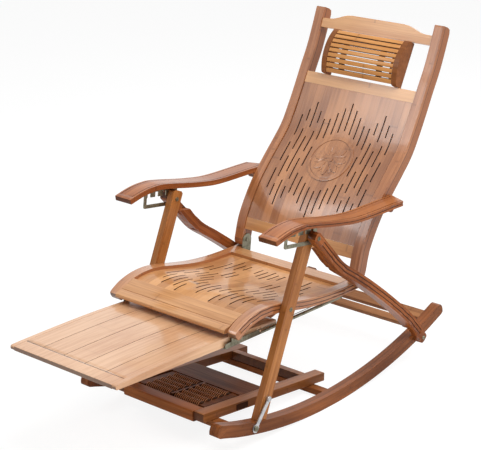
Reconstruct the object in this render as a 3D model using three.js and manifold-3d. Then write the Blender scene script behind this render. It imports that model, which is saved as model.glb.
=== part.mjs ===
// Folding rocking chair in laminated bamboo, with a drawn-out footboard and a foot roller frame.
// Millimetres, +Z up, the chair faces -Y. "left" is the sitter's left, +X.
import * as THREE from 'three';
import { mergeVertices } from 'three/addons/utils/BufferGeometryUtils.js';
import Module from 'manifold-3d';

const wasm = await Module();
wasm.setup();

// Fits
const touchGap = 0.3;
const slack = 1;
const overrun = 6;
const weld = 0.0001;
const pinClearance = 0.4;

// Layers across the chair, from the seat outwards
const seatHalf = 206;
const railWidth = 32;
const legGap = 2;
const legThick = 21;
const rackThick = 3;
const cheekThick = 25;
const rearLegWidth = 43;
const rockerWidth = 32;
const postWidth = 31;
const armWidth = 62;
const railIn = seatHalf;
const railOut = railIn + railWidth;
const legIn = railOut + legGap;
const legOut = legIn + legThick;
const rackIn = legOut + slack;
const rackOut = rackIn + rackThick;
const cheekIn = rackOut + slack;
const cheekOut = cheekIn + cheekThick;
const rearLegIn = cheekOut - rearLegWidth;
const rockerOut = cheekIn - slack;
const rockerIn = rockerOut - rockerWidth;
const postIn = seatHalf;
const postOut = postIn + postWidth;
const armIn = postOut + slack;
const armOut = armIn + armWidth;

// Rockers
const rockerRadius = 1500;
const rockerLowY = 105;
const rockerThick = 36;
const rockerToeY = -386;
const rockerTailY = 690.5;
const rockerStepAngle = THREE.MathUtils.degToRad(2.1);
const rockerEndRound = 13;

// Pivots
const armPinY = 7;
const armPinZ = 552;
const footY = -197;
const rearPivotY = 545;
const boltRadius = 4;
const boltHeadRadius = 6.5;
const boltHeadRise = 2.6;
const headTaperShare = 0.6;
const roundSides = 8;
const wideSides = 12;

// Front legs
const legWidth = 40;
const legTopAbovePin = 26;
const legTopReach = 29;

// Curved rear legs
const rearLegDepth = 30;
const rearLegTopAbovePin = 15;
const rearLegTopRound = 11;
const rearLegFootRound = 13;
const rearLegLapTop = 80;
const rearLegLapLead = 34;
const rearLegLapFoot = 66;
const rodRadius = 6;
const rodSeat = 15;
const rodPlaceShare = 0.515;
const rodBelowCourse = 4;
const rodNotch = 4.5;
const rodNotchLead = 16;
const rearLegCourseShares = [
  [0, 0], [0.046, -0.003], [0.121, -0.012], [0.202, -0.021], [0.278, -0.014], [0.406, 0.001],
  [0.524, 0.011], [0.615, 0.017], [0.711, 0.02], [0.812, 0.022], [0.921, 0.015], [1, 0],
];
const fluteWidth = 3;
const fluteDepth = 1.5;
const fluteApart = 11;

// Seat
const seatFrontY = -283;
const seatRearY = 300;
const seatWave = 45;
const seatCourseShares = [
  [0, 0.133], [0.039, 0.467], [0.099, 0.756], [0.168, 0.956], [0.232, 1], [0.307, 0.911],
  [0.443, 0.556],
  [0.537, 0.311], [0.614, 0.178], [0.683, 0.089], [0.768, 0.022], [0.88, 0], [1, 0],
];
const seatRailFrontDepth = 30;
const seatRailRearDepth = 22.4;
const seatRailNose = 10;
const seatPanelThick = 10;
const seatPanelRecess = 9;
const seatFrontRailSpan = 76;
const seatFrontRailDepth = 21;
const seatFrontRailNose = 12;
const seatFrontRailLead = 7;
const seatRearRailSpan = 47;
const seatRearRailInset = 38;
const seatRearRailDepth = 20;

// Back
const backReach = 393;
const backRise = 664;
const postDepth = 42;
const postTopRound = 16;
const backCourseShares = [
  [0, 0], [0.052, 0.105], [0.112, 0.169], [0.199, 0.246], [0.37, 0.358], [0.546, 0.463],
  [0.681, 0.594], [0.781, 0.71], [0.895, 0.84], [1, 1],
];
const backRailThick = 22;
const backRecess = 3;
const bottomRailAt = 34;
const bottomRailHeight = 38;
const backPanelHeight = 469;
const backPanelThick = 12;
const backPanelSideGap = 2.5;
const midRailHeight = 36;
const headrestOpening = 143;
const crestHeight = 29;
const crestRise = 20;
const crestFlatHalf = 115;
const crestShoulderHalf = 164;

// Headrest
const headrestHalf = 141;
const headrestEndWidth = 18;
const headrestSink = 10;
const headrestEndDepth = 15;
const headrestMidDepth = 37;
const headrestSlats = 9;
const headrestSlatThick = 8;
const headrestSlatGap = 3;
const battenWidth = 16;
const battenThick = 6;
const battenAt = 70;

// Slot pattern and medallion
const slotPitch = 21.5;
const slotWidth = 4.5;
const medallionRadius = 77;
const medallionRise = 2;
const medallionCutDepth = 1.2;
const medallionAt = 244;
const petals = 8;

// Armrests
const armThick = 15.5;
const armLength = 608;
const armRearReach = 41;
const armPinDrop = 34;
const armPivotDrop = 9.9;
const armCourseShares = [
  [0, 0.66], [0.077, 0.894], [0.176, 1], [0.258, 0.894], [0.373, 0.596], [0.488, 0.319],
  [0.604, 0.106], [0.735, 0.043], [0.867, 0.043], [1, 0],
];
const armFrontChamfer = 3;
const armRearChamfer = 27;
const armEndRound = 2;
const armGrooveInset = 7;
const armGrooveWidth = 2;
const armGrooveDepth = 1.4;
const armBlockWidth = 32;
const armBlockSpan = 42;
const armPivotAt = 208;
const armPivotRound = 13;

// Racks under the armrests
const rackSlopeAngle = Math.atan(0.135);
const rackRise = 36;
const rackFrontReach = 116;
const rackRearReach = 23;
const rackBar = 11;
const rackPinAbove = 6;
const rackPinBelow = 7;
const rackNotchWidth = 13;
const rackNotchDepth = 15;
const rackNotchPitch = 32;
const rackNotches = 4;

// Latches between the front legs and the rockers
const latchAboveFoot = 58;
const latchReach = 56;
const strapWidth = 13;
const strapThick = 3;
const strapEye = 8.5;

// Footboard
const boardFrontY = -692;
const boardLength = 632;
const boardSlope = 0.012;
const boardSideGap = 8;
const boardHalf = seatHalf - boardSideGap;
const boardRailWidth = 14;
const boardFrontThick = 13;
const boardRailDepth = 13;
const boardBottomZ = 296.5;
const boardRunStartY = -300;
const boardWave = 20;
const boardRearTopZ = 308.6;
const boardCourseShares = [
  [0, 0.87], [0.15, 0.95], [0.35, 0.97], [0.52, 0.88], [0.68, 0.66], [0.84, 0.32], [1, 0],
];
const boardPanelThick = 9;
const boardLipLength = 44;
const boardNose = 5;
const planks = 5;
const plankPitch = (2 * boardHalf) / planks;
const plankGroove = 1.6;
const plankGrooveDepth = 1.6;

// Footboard guides
const guideThick = 2;
const guideFrontY = -284;
const guideRearY = 234;
const guideFlange = 15;
const guideWebRise = 13;
const guidePinInset = 78;
const guidePinAt = boardLength - guidePinInset;
const guidePinRadius = 3;
const boardTravel = 360;
const guideTab = 26;

// Back hinges
const hingePlateThick = 2.7;
const hingeFlange = 26;

// Base stretchers and slats
const frontStretcherY = -295;
const frontStretcherSpan = 28;
const frontStretcherDepth = 19;
const midStretcherY = 132;
const midStretcherSpan = 28;
const midStretcherDepth = 19;
const slatThick = 14;
const slatSink = 5;
const rearSlatInset = 88.5;
const rearSlatApart = 13;
const rearSlatInnerSpan = 27;
const rearSlatOuterSpan = 38;
const rearSlatOuterY = rockerTailY - rearSlatInset;
const rearSlatInnerY = rearSlatOuterY - rearSlatApart - rearSlatInnerSpan;

// Foot roller frame
const rollerFrameHalf = 169;
const rollerRailWidth = 36;
const rollerFrameFrontY = -334;
const rollerFrameRearY = 206;
const rollerFrameDepth = 26;
const rollerFrameFrontZ = 105.5;
const rollerFrameSlope = 0.11;
const rollerFrontBarSpan = 43;
const rollerFrontBarLip = 7;
const rollerMidBarY = -130;
const rollerMidBarSpan = 92;
const rollerRearBarY = 131;
const rollerRearBarSpan = 26;
const rollerFirstY = -268;
const rollerPitch = 28;
const rollers = 5;
const rollerRadius = 13;
const rollerNeck = 10;
const rollerBeads = 5;
const rollerInnerX = 8;
const trayEdge = 30;
const rollerOuterX = rollerFrameHalf - rollerRailWidth - trayEdge;
const rollerAxleRadius = 3;
const rollerSides = 8;
const trayDividerWidth = 9;
const traySideWidth = 22;
const trayRunner = 6;
const trayRimSpan = 8;
const trayTenonHeight = 18;
const trayTenonFrom = 72;
const trayTenonSpan = 50;

// Materials

function material(color, roughness, metalness) {
  return new THREE.MeshStandardMaterial({ color, roughness, metalness });
}

const lightBamboo = material(0xd9a774, 0.45, 0);
const postBamboo = material(0xc58b62, 0.42, 0);
const panelBamboo = material(0xb97b4e, 0.42, 0);
const darkBamboo = material(0xa2643c, 0.42, 0);
const brownWood = material(0x63351f, 0.5, 0);
const zincSteel = material(0x70695a, 0.4, 0.9);
const brightSteel = material(0xb9b9bb, 0.3, 1);

// Solids

function toSolid(geometry) {
  const bare = new THREE.BufferGeometry();
  bare.setAttribute('position', geometry.getAttribute('position').clone());
  if (geometry.index) {
    bare.setIndex(geometry.index.clone());
  }
  const merged = mergeVertices(bare, weld);
  const place = merged.getAttribute('position');
  const faces = [];
  const a = new THREE.Vector3();
  const b = new THREE.Vector3();
  const c = new THREE.Vector3();
  let volume = 0;
  for (let i = 0; i < merged.index.count; i += 3) {
    const [p, q, r] = [merged.index.getX(i), merged.index.getX(i + 1), merged.index.getX(i + 2)];
    if (p === q || q === r || r === p) {
      continue;
    }
    a.fromBufferAttribute(place, p);
    b.fromBufferAttribute(place, q);
    c.fromBufferAttribute(place, r);
    volume += a.dot(b.cross(c));
    faces.push([p, q, r]);
  }
  const triVerts = Uint32Array.from(faces.flatMap(([p, q, r]) => (volume < 0 ? [p, r, q] : [p, q, r])));
  const vertProperties = Float32Array.from(place.array);
  return new wasm.Manifold(new wasm.Mesh({ numProp: 3, vertProperties, triVerts }));
}

function toGeometry(solid) {
  const mesh = solid.getMesh();
  const geometry = new THREE.BufferGeometry();
  geometry.setAttribute('position', new THREE.BufferAttribute(Float32Array.from(mesh.vertProperties),
    3));
  geometry.setIndex(new THREE.BufferAttribute(Uint32Array.from(mesh.triVerts), 1));
  geometry.computeVertexNormals();
  return geometry;
}

const chair = new THREE.Group();
chair.name = 'rocking_chair';

function addPart(name, solid, look) {
  const mesh = new THREE.Mesh(toGeometry(solid), look);
  mesh.name = name;
  chair.add(mesh);
}

function point(y, z) {
  return new THREE.Vector2(y, z);
}

// An outline in the Y-Z plane, drawn through the chair from x0 to x1.
const alongX = new THREE.Matrix4().makeBasis(
  new THREE.Vector3(0, 1, 0),
  new THREE.Vector3(0, 0, 1),
  new THREE.Vector3(1, 0, 0),
);

function profile(outline, x0, x1, holes = []) {
  const shape = new THREE.Shape(outline);
  holes.forEach((hole) => shape.holes.push(new THREE.Path(hole)));
  const geometry = new THREE.ExtrudeGeometry(shape, { depth: Math.abs(x1 - x0), bevelEnabled: false });
  geometry.applyMatrix4(alongX);
  geometry.translate(Math.min(x0, x1), 0, 0);
  return toSolid(geometry);
}

// An outline in plan, drawn upwards from z0 to z1.
function plan(outline, z0, z1) {
  const geometry = new THREE.ExtrudeGeometry(new THREE.Shape(outline),
    { depth: z1 - z0, bevelEnabled: false });
  geometry.translate(0, 0, z0);
  return toSolid(geometry);
}

function block(x0, x1, y0, y1, z0, z1) {
  const geometry = new THREE.BoxGeometry(Math.abs(x1 - x0), y1 - y0, z1 - z0);
  geometry.translate((x0 + x1) / 2, (y0 + y1) / 2, (z0 + z1) / 2);
  return toSolid(geometry);
}

// A turned piece on an axis along X: pairs of distance along the axis and radius.
function turned(stations, y, z, sides = roundSides) {
  const points = stations.map(([x, r]) => new THREE.Vector2(r, x));
  const geometry = new THREE.LatheGeometry(points, sides);
  geometry.rotateZ(-Math.PI / 2);
  geometry.translate(0, y, z);
  return toSolid(geometry);
}

function rod(x0, x1, radius, y, z, sides = roundSides) {
  return turned([[x0, 0], [x0, radius], [x1, radius], [x1, 0]], y, z, sides);
}

// A bolt whose shank starts at x0 and whose domed head stands on the face at x1.
function bolt(x0, x1, radius, at) {
  const out = Math.sign(x1 - x0);
  const seat = x1 + out * touchGap;
  const crown = seat + out * boltHeadRise;
  return turned([
    [x0, 0], [x0, radius], [seat, radius], [seat, boltHeadRadius],
    [crown, boltHeadRadius * headTaperShare], [crown, 0],
  ], at.x, at.y);
}

function circleOutline(centre, radius, sides = wideSides) {
  return Array.from({ length: sides }, (_, i) => {
    const angle = (i / sides) * 2 * Math.PI;
    return point(centre.x + radius * Math.cos(angle), centre.y + radius * Math.sin(angle));
  });
}

// Rounds the named corners of an outline with a short curve.
const filletSteps = 2;
const edgeUseShare = 0.48;

function fillet(outline, radii) {
  const count = outline.length;
  return outline.flatMap((corner, i) => {
    const radius = radii[i];
    if (!radius) {
      return [corner];
    }
    const before = outline[(i - 1 + count) % count].clone().sub(corner);
    const after = outline[(i + 1) % count].clone().sub(corner);
    const start = corner.clone().addScaledVector(
      before.clone().normalize(), Math.min(radius, before.length() * edgeUseShare));
    const end = corner.clone().addScaledVector(
      after.clone().normalize(), Math.min(radius, after.length() * edgeUseShare));
    return new THREE.QuadraticBezierCurve(start, corner, end).getPoints(filletSteps);
  });
}

function courseFrom(shares, start, reach, rise) {
  return new THREE.SplineCurve(shares.map(([a, b]) => point(start.x + a * reach, start.y + b * rise)));
}

function sample(curve, along) {
  const share = THREE.MathUtils.clamp(along / curve.getLength(), 0, 1);
  const at = curve.getPointAt(share);
  const way = curve.getTangentAt(share);
  return { at, way, side: point(-way.y, way.x) };
}

// A band that follows a curve between two distances along it. "over" and "under" are its
// offsets to the curve's left side, as numbers or as functions of the share of its run.
function band(curve, from, to, over, under, steps) {
  const offset = (value, share) => (typeof value === 'function' ? value(share) : value);
  const upper = [];
  const lower = [];
  for (let i = 0; i <= steps; i += 1) {
    const share = i / steps;
    const { at, side } = sample(curve, from + (to - from) * share);
    upper.push(at.clone().addScaledVector(side, offset(over, share)));
    lower.push(at.clone().addScaledVector(side, offset(under, share)));
  }
  return [...upper, ...lower.reverse()];
}

function bandCorners(steps, start, end) {
  return { 0: start, [steps]: end, [steps + 1]: end, [2 * steps + 1]: start };
}

// Finds the distance along a curve that runs rearwards where it reaches a given y.
function alongAtY(curve, y) {
  let low = 0;
  let high = curve.getLength();
  for (let i = 0; i < 40; i += 1) {
    const mid = (low + high) / 2;
    if (sample(curve, mid).at.x < y) {
      low = mid;
    } else {
      high = mid;
    }
  }
  return (low + high) / 2;
}

function heightAtY(curve, y) {
  return sample(curve, alongAtY(curve, y)).at.y;
}

// A plate lying against a curve: an outline in X and distance along the curve, between two
// offsets from it.
function plate(curve, along, outline, near, far) {
  const { at, way } = sample(curve, along);
  const across = new THREE.Vector3(1, 0, 0);
  const forward = new THREE.Vector3(0, way.x, way.y);
  const geometry = new THREE.ExtrudeGeometry(new THREE.Shape(outline),
    { depth: far - near, bevelEnabled: false });
  geometry.translate(0, 0, near);
  geometry.applyMatrix4(new THREE.Matrix4().makeBasis(across, forward, across.clone().cross(forward)));
  geometry.translate(0, at.x, at.y);
  return toSolid(geometry);
}

function rectangle(x0, x1, y0, y1) {
  return [point(x0, y0), point(x1, y0), point(x1, y1), point(x0, y1)];
}

const sides = [['left', 1], ['right', -1]];

// Rockers and their bars

function rockerPoint(radius, angle) {
  return point(rockerLowY + radius * Math.sin(angle), rockerRadius - radius * Math.cos(angle));
}

function rockerAngle(y, radius) {
  return Math.asin((y - rockerLowY) / radius);
}

const rockerTopRadius = rockerRadius - rockerThick;
const rockerMidRadius = rockerRadius - rockerThick / 2;

function rockerHeight(y, radius) {
  return rockerPoint(radius, rockerAngle(y, radius)).y;
}

function rockerOutline(grow) {
  const toe = rockerAngle(rockerToeY, rockerRadius);
  const tail = rockerAngle(rockerTailY, rockerRadius);
  const angles = [toe];
  const first = Math.ceil(toe / rockerStepAngle) + 1;
  for (let k = first; k * rockerStepAngle < tail - rockerStepAngle; k += 1) {
    angles.push((k + 0.5) * rockerStepAngle);
  }
  angles.push(tail);
  const outer = (rockerRadius + grow) / Math.cos(rockerStepAngle / 2);
  const inner = rockerTopRadius - grow;
  const lower = angles.map((angle) => rockerPoint(outer, angle));
  const upper = angles.map((angle) => rockerPoint(inner, angle)).reverse();
  const count = angles.length;
  return fillet([...lower, ...upper], {
    0: rockerEndRound, [count - 1]: rockerEndRound, [count]: rockerEndRound,
    [2 * count - 1]: rockerEndRound,
  });
}

const rearPivot = point(rearPivotY, rockerHeight(rearPivotY, rockerMidRadius));
const foot = point(footY, rockerHeight(footY, rockerTopRadius));
const armPin = point(armPinY, armPinZ);
const latchTop = point(footY + (latchAboveFoot / (armPin.y - foot.y)) * (armPin.x - foot.x),
  foot.y + latchAboveFoot);
const latchFoot = point(latchTop.x - latchReach,
  rockerHeight(latchTop.x - latchReach, rockerMidRadius));

function boltHole(x0, x1, at, radius = boltRadius) {
  return rod(x0, x1, radius + pinClearance, at.x, at.y);
}

for (const [side, s] of sides) {
  const rocker = profile(rockerOutline(0), s * rockerIn, s * rockerOut)
    .subtract(boltHole(s * (rockerIn - overrun), s * (rockerOut + overrun), rearPivot));
  addPart(`rocker_${side}`, rocker, darkBamboo);
}

// Bars lie across between the rockers, on a chord of the rocker's own curve.
function rockerBar(from, span, top, depth) {
  const outline = [point(from, top), point(from + span, top), point(from + span, top - depth),
    point(from, top - depth)];
  return profile(outline, -(rockerIn - touchGap), rockerIn - touchGap);
}

function rollerFrameTop(y) {
  return rollerFrameFrontZ - (y - rollerFrameFrontY) * rollerFrameSlope;
}

function rollerFrameBottom(y) {
  return rollerFrameTop(y) - rollerFrameDepth;
}

const frontStretcherTop = rollerFrameBottom(frontStretcherY + frontStretcherSpan) - touchGap;
const midStretcherTop = rollerFrameBottom(midStretcherY + midStretcherSpan) - touchGap;
addPart('front_stretcher', rockerBar(frontStretcherY, frontStretcherSpan, frontStretcherTop,
  frontStretcherDepth), brownWood);
addPart('mid_stretcher', rockerBar(midStretcherY, midStretcherSpan, midStretcherTop, midStretcherDepth),
  brownWood);

function rearSlat(y, span) {
  const outer = rockerTopRadius + slatSink;
  const start = rockerAngle(y, outer);
  const end = start + span / outer;
  return profile([
    rockerPoint(outer, start), rockerPoint(outer, end), rockerPoint(outer + slatThick, end),
    rockerPoint(outer + slatThick, start),
  ], -(rockerIn - touchGap), rockerIn - touchGap);
}

addPart('rear_slat_inner', rearSlat(rearSlatInnerY, rearSlatInnerSpan), lightBamboo);
addPart('rear_slat_outer', rearSlat(rearSlatOuterY, rearSlatOuterSpan), lightBamboo);

// Front legs

const legWay = armPin.clone().sub(foot).normalize();
const legSide = point(legWay.y, -legWay.x);

function onLeg(origin, up, across) {
  return origin.clone().addScaledVector(legWay, up).addScaledVector(legSide, across);
}

const legHalf = legWidth / 2;
const legShoulder = Math.sqrt(legTopReach ** 2 - legHalf ** 2);
const legCrown = Math.sqrt(legTopReach ** 2 - legTopAbovePin ** 2);
const legOutline = [
  onLeg(foot, -rockerThick / 2, -legHalf), onLeg(foot, -rockerThick / 2, legHalf),
  onLeg(armPin, legShoulder, legHalf), onLeg(armPin, legTopAbovePin, legCrown),
  onLeg(armPin, legTopAbovePin, -legCrown), onLeg(armPin, legShoulder, -legHalf),
];

// Curved rear legs

const chord = rearPivot.clone().sub(armPin);
const chordSide = point(-chord.y, chord.x);
const rearLegCourse = new THREE.SplineCurve(rearLegCourseShares.map(([a, b]) => (
  armPin.clone().addScaledVector(chord, a).addScaledVector(chordSide, b)
)));
const rearLegLength = rearLegCourse.getLength();
const rodSample = sample(rearLegCourse, rearLegLength * rodPlaceShare);
const rodPlace = rodSample.at.clone().addScaledVector(rodSample.side, -rodBelowCourse);
const rearLegHalf = rearLegDepth / 2;
const rearLegSteps = 9;
const rearLegStart = sample(rearLegCourse, 0);
const rearLegEnd = sample(rearLegCourse, rearLegLength);

function endBlock(place, sign, reach, round) {
  const inner = place.at.clone().addScaledVector(place.way, -sign * touchGap);
  const outer = place.at.clone().addScaledVector(place.way, sign * reach);
  return fillet([
    inner.clone().addScaledVector(place.side, rearLegHalf),
    outer.clone().addScaledVector(place.side, rearLegHalf),
    outer.clone().addScaledVector(place.side, -rearLegHalf),
    inner.clone().addScaledVector(place.side, -rearLegHalf),
  ], { 1: round, 2: round });
}

function flutes(curve, from, to, middle, x0, x1, steps) {
  const line = (offset) => profile(
    band(curve, from, to, offset + fluteWidth / 2, offset - fluteWidth / 2, steps), x0, x1);
  return line(middle + fluteApart / 2).add(line(middle - fluteApart / 2));
}

// The body starts on a slant, so that its upper edge stays clear of the rack.
const rearLegBody = band(
  rearLegCourse, rearLegLapTop - rearLegLapLead, rearLegLength - rearLegLapFoot, rearLegHalf,
  -rearLegHalf, rearLegSteps);
const lapStart = sample(rearLegCourse, rearLegLapTop);
rearLegBody[0] = lapStart.at.clone().addScaledVector(lapStart.side, rearLegHalf);

for (const [side, s] of sides) {
  const cheek = profile(
    band(rearLegCourse, 0, rearLegLength, rearLegHalf, -rearLegHalf, rearLegSteps), s * cheekIn,
      s * cheekOut)
    .add(profile(endBlock(rearLegStart, -1, rearLegTopAbovePin, rearLegTopRound), s * cheekIn,
      s * cheekOut))
    .add(profile(endBlock(rearLegEnd, 1, rearLegFootRound, rearLegFootRound), s * cheekIn,
      s * cheekOut));
  const body = profile(rearLegBody, s * rearLegIn, s * (cheekIn + overrun));
  const leg = cheek.add(body)
    .subtract(boltHole(s * (cheekIn - overrun), s * (cheekOut + overrun), armPin))
    .subtract(boltHole(s * (cheekIn - overrun), s * (cheekOut + overrun), rearPivot))
    .subtract(boltHole(s * (rearLegIn - overrun), s * (rearLegIn + rodSeat + touchGap), rodPlace,
      rodRadius))
    .subtract(flutes(rearLegCourse, rearLegDepth, rearLegLength - rearLegDepth, 0,
      s * (cheekOut - fluteDepth), s * (cheekOut + overrun), rearLegSteps));
  addPart(`rear_leg_${side}`, leg, darkBamboo);
  const pin = bolt(s * (legIn - touchGap), s * cheekOut, boltRadius, armPin)
    .add(rod(s * (legIn - touchGap - boltHeadRise), s * (legIn - touchGap), boltHeadRadius, armPin.x,
      armPin.y));
  addPart(`arm_pin_${side}`, pin, zincSteel);
  const heel = bolt(s * (rockerIn - touchGap), s * cheekOut, boltRadius, rearPivot)
    .add(rod(s * (rockerIn - touchGap - boltHeadRise), s * (rockerIn - touchGap), boltHeadRadius,
      rearPivot.x, rearPivot.y));
  addPart(`rear_pivot_bolt_${side}`, heel, zincSteel);
}
addPart('seat_rest_rod', rod(-(rearLegIn + rodSeat), rearLegIn + rodSeat, rodRadius, rodPlace.x,
  rodPlace.y), brightSteel);

// Seat

const rodTop = rodPlace.y + rodRadius + touchGap;
const seatHeight = rodTop + seatRailRearDepth - rodNotch;
const seatLength = seatRearY - seatFrontY;
const seatCourse = courseFrom(seatCourseShares, point(seatFrontY, seatHeight), seatLength, seatWave);
const seatCourseLength = seatCourse.getLength();
const seatSteps = 12;

function seatTop(y) {
  return heightAtY(seatCourse, y);
}

function seatRailDepthAt(share) {
  return THREE.MathUtils.lerp(seatRailFrontDepth, seatRailRearDepth, share);
}

// The seat is bolted where the leg's axis crosses the middle of the rail.
function seatBoltPlace() {
  let y = (armPin.x + foot.x) / 2;
  let z = seatHeight;
  for (let i = 0; i < 20; i += 1) {
    const along = alongAtY(seatCourse, y);
    z = seatTop(y) - seatRailDepthAt(along / seatCourseLength) / 2;
    y = foot.x + ((z - foot.y) / (armPin.y - foot.y)) * (armPin.x - foot.x);
  }
  return point(y, z);
}

const seatBolt = seatBoltPlace();
const seatBoltBlind = 24;
const railOutline = fillet(
  band(seatCourse, 0, seatCourseLength, 0, (share) => -seatRailDepthAt(share), seatSteps),
  bandCorners(seatSteps, seatRailNose, seatRailNose / 2));
const hingeAt = seatRearY - postDepth / 2 + seatRailNose / 2;
const hinge = point(hingeAt, seatHeight + postDepth / 2 + slack);
const rearRailRear = seatRearY - seatRearRailInset;
const rearRailFront = rearRailRear - seatRearRailSpan;

for (const [side, s] of sides) {
  const rail = profile(railOutline, s * railIn, s * railOut)
    .subtract(flutes(seatCourse, seatRailNose * 2, seatCourseLength - seatRailNose,
      -seatRailRearDepth / 2,
      s * (railOut - fluteDepth), s * (railOut + overrun), seatSteps))
    .subtract(boltHole(s * (railOut - seatBoltBlind - touchGap), s * (railOut + overrun), seatBolt))
    .subtract(block(s * (railIn - overrun), s * (railOut + overrun), rodPlace.x - rodNotchLead,
      rodPlace.x + rodRadius + slack, rodPlace.y - rodNotch, rodTop));
  addPart(`seat_rail_${side}`, rail, darkBamboo);
  const leg = profile(legOutline, s * legIn, s * legOut)
    .subtract(profile(rockerOutline(touchGap), s * (rockerIn - overrun), s * (rockerOut + overrun)))
    .subtract(boltHole(s * (legIn - overrun), s * (legOut + overrun), armPin))
    .subtract(boltHole(s * (legIn - overrun), s * (legOut + overrun), seatBolt));
  addPart(`front_leg_${side}`, leg, darkBamboo);
  addPart(`seat_bolt_${side}`, bolt(s * (railOut - seatBoltBlind), s * legOut, boltRadius, seatBolt),
    zincSteel);
}

const seatPanelRearY = rearRailFront - touchGap;
const seatPanelFrontY = seatFrontY - seatFrontRailLead + seatFrontRailSpan + touchGap;
const seatPanelHalf = railIn - touchGap;

// Slots: one row of [from, to] runs along the curve for each step away from the middle column,
// as shares of the panel's slotted length.
const seatSlotRunShares = [
  [[0.09, 0.34], [0.73, 0.92]],
  [[0.15, 0.29], [0.76, 0.89]],
  [[0.21, 0.33], [0.8, 0.9]],
  [[0.04, 0.16], [0.24, 0.44], [0.56, 0.7]],
  [[0.09, 0.28], [0.36, 0.5], [0.57, 0.72], [0.8, 0.9]],
  [[0.15, 0.29], [0.38, 0.6], [0.76, 0.89]],
  [[0.08, 0.32], [0.42, 0.56], [0.72, 0.94]],
  [[0.15, 0.29], [0.36, 0.52], [0.62, 0.86]],
  [[0.24, 0.42], [0.54, 0.72]],
];
const backSlotRunShares = [
  [[0.087, 0.277], [0.731, 0.921]],
  [[0.128, 0.295], [0.712, 0.88]],
  [[0.169, 0.318], [0.69, 0.839]],
  [[0.215, 0.355], [0.653, 0.792]],
  [[0.225, 0.373], [0.429, 0.578], [0.634, 0.783]],
  [[0.178, 0.262], [0.318, 0.476], [0.532, 0.69], [0.746, 0.829]],
  [[0.122, 0.299], [0.364, 0.643], [0.708, 0.885]],
  [[0.178, 0.262], [0.318, 0.476], [0.532, 0.69], [0.746, 0.829]],
  [[0.225, 0.373], [0.429, 0.578], [0.634, 0.783]],
];

function slotCutters(curve, from, to, runShares, over, under) {
  const cutters = [];
  for (let column = 1 - runShares.length; column < runShares.length; column += 1) {
    const x = column * slotPitch;
    for (const [start, end] of runShares[Math.abs(column)]) {
      const length = (end - start) * (to - from);
      const along = from + ((start + end) / 2) * (to - from);
      const outline = rectangle(x - slotWidth / 2, x + slotWidth / 2, -length / 2, length / 2);
      cutters.push(plate(curve, along, outline, under, over));
    }
  }
  return cutters;
}

function cutAll(solid, cutters) {
  return cutters.reduce((left, cutter) => left.subtract(cutter), solid);
}

const seatPanelFrom = alongAtY(seatCourse, seatPanelFrontY);
const seatPanelTo = alongAtY(seatCourse, seatPanelRearY);
const seatPanel = profile(
  band(seatCourse, seatPanelFrom, seatPanelTo, -seatPanelRecess, -seatPanelRecess - seatPanelThick,
    seatSteps),
  -seatPanelHalf, seatPanelHalf);
addPart('seat_panel', cutAll(seatPanel, slotCutters(
  seatCourse, seatPanelFrom, seatPanelTo, seatSlotRunShares, 0,
  -seatPanelRecess - seatPanelThick - overrun)), lightBamboo);

const seatFrontRailEnd = alongAtY(seatCourse, seatPanelFrontY - touchGap);
const seatFrontRailFrom = seatFrontRailNose * 2;
const frontRailSteps = 5;
const seatNoseTop = sample(seatCourse, seatFrontRailFrom).at;
const frontRailBand = band(seatCourse, seatFrontRailFrom, seatFrontRailEnd, 0, -seatFrontRailDepth,
  frontRailSteps);
const seatNoseLow = frontRailBand[frontRailBand.length - 1];
const noseY = seatFrontY - seatFrontRailLead;
const frontRailOutline = fillet([
  ...frontRailBand, point(noseY, seatNoseLow.y), point(noseY, seatNoseTop.y - seatFrontRailNose / 2),
], { [frontRailBand.length]: seatFrontRailNose / 3,
  [frontRailBand.length + 1]: seatFrontRailNose / 2 });
const frontRailGrooveAt = 24;
const frontRail = profile(frontRailOutline, -seatPanelHalf, seatPanelHalf)
  .subtract(profile(band(seatCourse, frontRailGrooveAt, frontRailGrooveAt + plankGroove, slack,
    -plankGrooveDepth, 1),
    -seatPanelHalf - overrun, seatPanelHalf + overrun));
addPart('seat_front_rail', frontRail, lightBamboo);

const rearRail = profile(
  band(seatCourse, alongAtY(seatCourse, rearRailFront), alongAtY(seatCourse, rearRailRear), 0,
    -seatRearRailDepth, 2),
  -seatPanelHalf, seatPanelHalf);
addPart('seat_rear_rail', rearRail, darkBamboo);

// Back hinges

const hingePlateOut = railIn - touchGap;
const hingePlateIn = hingePlateOut - hingePlateThick;
const hingePinDepth = 26;
const hingePlateLow = rodTop + slack;
const hingePlateFront = rearRailRear + touchGap;
const hingePlateRound = postDepth / 2 - slack;

for (const [side, s] of sides) {
  const lug = profile(circleOutline(hinge, hingePlateRound), s * hingePlateIn, s * hingePlateOut)
    .add(profile([
      point(hingePlateFront, hingePlateLow), point(seatRearY, hingePlateLow),
      point(hinge.x + hingePlateRound, hinge.y), point(hinge.x - hingePlateRound, hinge.y),
      point(hingePlateFront, seatHeight),
    ], s * hingePlateIn, s * hingePlateOut))
    .add(block(s * (hingePlateOut - hingeFlange), s * hingePlateOut, hingePlateFront,
      hingePlateFront + hingePlateThick,
      hingePlateLow, seatHeight - slack))
    .add(rod(s * (hingePlateIn - boltHeadRise), s * (postIn + hingePinDepth), boltRadius, hinge.x,
      hinge.y))
    .add(rod(s * (hingePlateIn - boltHeadRise), s * hingePlateIn, boltHeadRadius, hinge.x, hinge.y));
  addPart(`back_hinge_${side}`, lug, zincSteel);
}

// Back

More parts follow.
